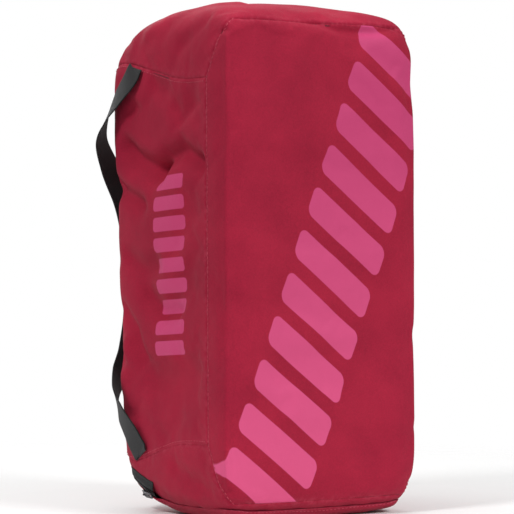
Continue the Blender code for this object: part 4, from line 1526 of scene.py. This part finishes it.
def d_ring(end, name, finish):
    """A closed D of drawn wire round its bar, with the weld's small bead at the bar's middle."""
    pivot, normal, forward, side = ring_bar(end)
    half, wire, reach = 0.017, 0.002, 0.021
    turn = np.linspace(0, math.pi, 40)
    line = [(half * math.cos(t), 0.004 + (reach - 0.004) * math.sin(t)) for t in turn]
    corner = [
        (-half + 0.0025 * (1 - math.cos(t)), 0.0025 * (1 - math.sin(t)))
        for t in np.linspace(0, math.pi / 2, 7)
    ]
    bar = [(x, 0.0) for x in np.linspace(-half + 0.004, half - 0.004, 14)]
    line = np.array(line + corner + bar + [(-x, y) for x, y in corner[::-1]])
    ahead = np.roll(line, -1, 0) - np.roll(line, 1, 0)
    ahead /= np.linalg.norm(ahead, axis=1)[:, None]
    points = []
    for (x, y), (dx, dy) in zip(line, ahead):
        bead = 1 + 0.14 * math.exp(-((x / 0.0012) ** 2)) * (y < 0.001)
        for k in range(16):
            a = 2 * math.pi * k / 16
            radius = wire * bead
            off = np.array((dy, -dx)) * math.cos(a) * radius
            points.append(
                pivot + side * (x + off[0]) + forward * (y + off[1]) + normal * math.sin(a) * radius
            )
    count = len(line)
    faces = [
        (i * 16 + k, (i + 1) % count * 16 + k, (i + 1) % count * 16 + (k + 1) % 16, i * 16 + (k + 1) % 16)
        for i in range(count)
        for k in range(16)
    ]
    obj = plain_mesh(name + "_wire", points, faces)
    work = bmesh.new()
    work.from_mesh(obj.data)
    bmesh.ops.recalc_face_normals(work, faces=work.faces)
    work.to_mesh(obj.data)
    work.free()
    obj.data.materials.append(finish)
    stands_for(obj, name, rides=name)


def on_sheet(sheet, edge, inset, lift=0.0003):
    """A stitch line along a sheet's edge, just over its face, with its outward directions."""
    line = inset_line(sheet["points"], edge, inset)
    normals = inset_line(sheet["normals"], edge, inset)
    return line + normals * lift, normals


def main():
    plain = crimson_polyester("piece_dyed_crimson_polyester")
    base = crimson_polyester(
        "printed_crimson_polyester_base",
        (
            (0.014, 0.0, 0.330),
            (0.0, 0.365, 0.0),
            False,
            (11, 0.0615, 0.070, 0.0205, 0.011, 0.30),
            "#de5585",
            "#c63f72",
        ),
    )
    front = crimson_polyester(
        "printed_crimson_polyester_side",
        (
            (0.0, MIDDLE_Y - 0.008, 0.342),
            (0.0, 0.0, 0.0),
            True,
            (9, 0.0282, 0.036, 0.0098, 0.0055, 0.06),
            "#cc4274",
            "#cc4274",
        ),
    )
    cloth = {"plain": plain, "base_panel": base, "front_panel": front}
    back = coated_back()
    webbing = black_webbing("polypropylene_webbing")
    tape = black_zip_tape()
    coil = nylon_coil()
    metal = black_nickel()
    board = polyethylene_board()
    crimson_thread = sewing_thread("crimson_bonded_thread", "#a31f3a", "#e0506c")
    black_thread = sewing_thread("black_bonded_thread", "#18191b", "#3c3e42")

    sheets = fabric_panels(cloth, back)
    top, lid = top_and_lid({"plain": plain}, back)
    pocket = pocket_panel({"plain": plain}, back)

    start, end = TAPE_START, TAPE_START + TAPE_WIDTH
    zip_tape("top_zip_tape", "bag", on_lid_zip, start, end, (0, 0), tape)
    zip_tape("lid_zip_tape", "lid", on_lid_zip, -end, -start, (0, 0), tape)
    zip_tape("end_zip_tape", "bag", on_pocket_zip, start, end, (POCKET_LIFT, 0.0010), tape)
    zip_tape("pocket_zip_tape", "bag", on_pocket_zip, -end, -start, (POCKET_LIFT, POCKET_LIFT), tape)
    zip_coil("lid_zip_coil", "bag", on_lid_zip, 0, coil)
    zip_coil("pocket_zip_coil", "bag", on_pocket_zip, POCKET_LIFT, coil)

    for name, side in (("handle_front", -1), ("handle_back", 1)):
        sheet = handle_sheet(side)
        obj = webbing_piece(name + "_webbing", sheet, webbing)
        stands_for(obj, name)
        at = sheet["points"][4, 7]
        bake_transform(obj)
    tab_rows = []
    for name, at in (("upper", 1), ("lower", -1)):
        sheet, rows = ring_tab_sheet(at)
        obj = webbing_piece(f"d_ring_tab_{name}_webbing", sheet, webbing)
        stands_for(obj, "d_ring_tab_" + name, rides="bag")
        tab_rows += rows
        d_ring(at, "d_ring_" + name, metal)

    stitch = {"pitch": STITCH_PITCH, "length": 0.0044, "width": 0.0011, "height": 0.0009, "wobble": 0.06}
    rows = [on_sheet(sheets["base_panel"], side, 0.0042) for side in ("left", "right")]
    for name in ("front_panel", "back_panel"):
        rows += [on_sheet(sheets[name], side, 0.0052) for side in ("left", "right")]
    rows.append(on_sheet(top, "low", 0.0036))
    rows.append(on_sheet(pocket, "low", 0.004))
    stitches = beads("bag_topstitching", "bag", rows, crimson_thread, **stitch)
    rows = [on_sheet(lid, side, 0.0036) for side in ("left", "low", "high")]
    beads("lid_topstitching", "lid", rows, crimson_thread, **stitch)
    beads(
            "ring_tab_stitching",
            "bag",
            tab_rows,
            black_thread,
            **stitch | {"pitch": 0.0032, "length": 0.0024},
        )

    for node, body in (("lid_slider", "lid_slider"), ("pocket_slider", "pocket_slider")):
        refined(node, body, metal, 0.0004)
    for node in ("lid_pull", "pocket_pull"):
        refined(node, node, metal, 0.0003)
    for zip_name in ("lid", "pocket"):
        for side in ("front", "back"):
            refined(f"{zip_name}_stop_{side}", "bag", metal, 0.0)
    refined("base_board", "bag", board, 0.0)
    bindings(tape)
    studio()


def studio():
    """A pale floor, soft light from above and both sides, and the camera low in front of the bag."""
    floor_finish, tree = new_finish("matt_white_floor", Roughness=0.85)
    shader = tree.nodes["Principled BSDF"]
    place = add(tree, "TexCoord", out="Object")
    shade = add(
        tree,
        "Mix",
        {
            0: add(tree, "TexNoise", {"Vector": place, "Scale": 3.0}),
            6: linear("#f4f4f3"),
            7: linear("#f8f8f8"),
        },
        2,
        data_type="RGBA",
    )
    tree.links.new(shade, shader.inputs["Base Color"])
    # The floor fades into the backdrop a little way from the bag
    away = add(tree, "VectorMath", {0: place}, "Value", operation="LENGTH")
    tree.links.new(add(tree, "MapRange", (away, 0.45, 1.3, 1.0, 0.0)), shader.inputs["Alpha"])
    bpy.ops.mesh.primitive_circle_add(radius=1.4, vertices=96, fill_type="NGON")
    floor = bpy.context.object
    floor.name = "studio_floor"
    floor.data.materials.append(floor_finish)

    scene = bpy.context.scene
    scene.view_settings.view_transform = "Standard"
    world = bpy.data.worlds.new("studio_white")
    world.use_nodes = True
    # The backdrop shows white, and lights the bag at less than half of that, so that folds keep their shade
    seen = add(world.node_tree, "LightPath", out="Is Camera Ray")
    strength = add(world.node_tree, "MapRange", (seen, 0.0, 1.0, 0.30, 1.0))
    world.node_tree.links.new(strength, world.node_tree.nodes["Background"].inputs["Strength"])
    world.node_tree.nodes["Background"].inputs["Color"].default_value = linear("#ffffff")
    scene.world = world
    for name, place, size, power in (
        ("key", (0.9, -3.0, 2.4), 1.2, 74),
        ("side", (-2.6, -0.6, 3.1), 0.8, 62),
        ("top", (-0.2, 0.6, 3.0), 1.4, 24),
        ("rear", (0.8, 2.8, 1.8), 1.6, 30),
    ):
        light = bpy.data.lights.new(name, "AREA")
        light.energy = power
        light.size = size
        lamp = bpy.data.objects.new(name, light)
        lamp.location = place
        lamp.rotation_euler = (Vector((0, 0, 0.35)) - Vector(place)).to_track_quat("-Z", "Y").to_euler()
        scene.collection.objects.link(lamp)

    turn = math.radians(-33.3)
    right = Vector((math.cos(turn), math.sin(turn), 0))
    back = Vector((math.sin(turn), -math.cos(turn), 0))
    lens = bpy.data.cameras.new("camera")
    lens.lens = 180.5
    lens.sensor_width = 36
    lens.clip_start = 0.05
    lens.clip_end = 100
    camera = bpy.data.objects.new("camera", lens)
    aim = Vector((0, MIDDLE_Y, 0.353)) - right * 0.010
    camera.location = aim + back * 3.6
    camera.rotation_euler = (-back).to_track_quat("-Z", "Y").to_euler()
    scene.collection.objects.link(camera)
    scene.camera = camera


main()
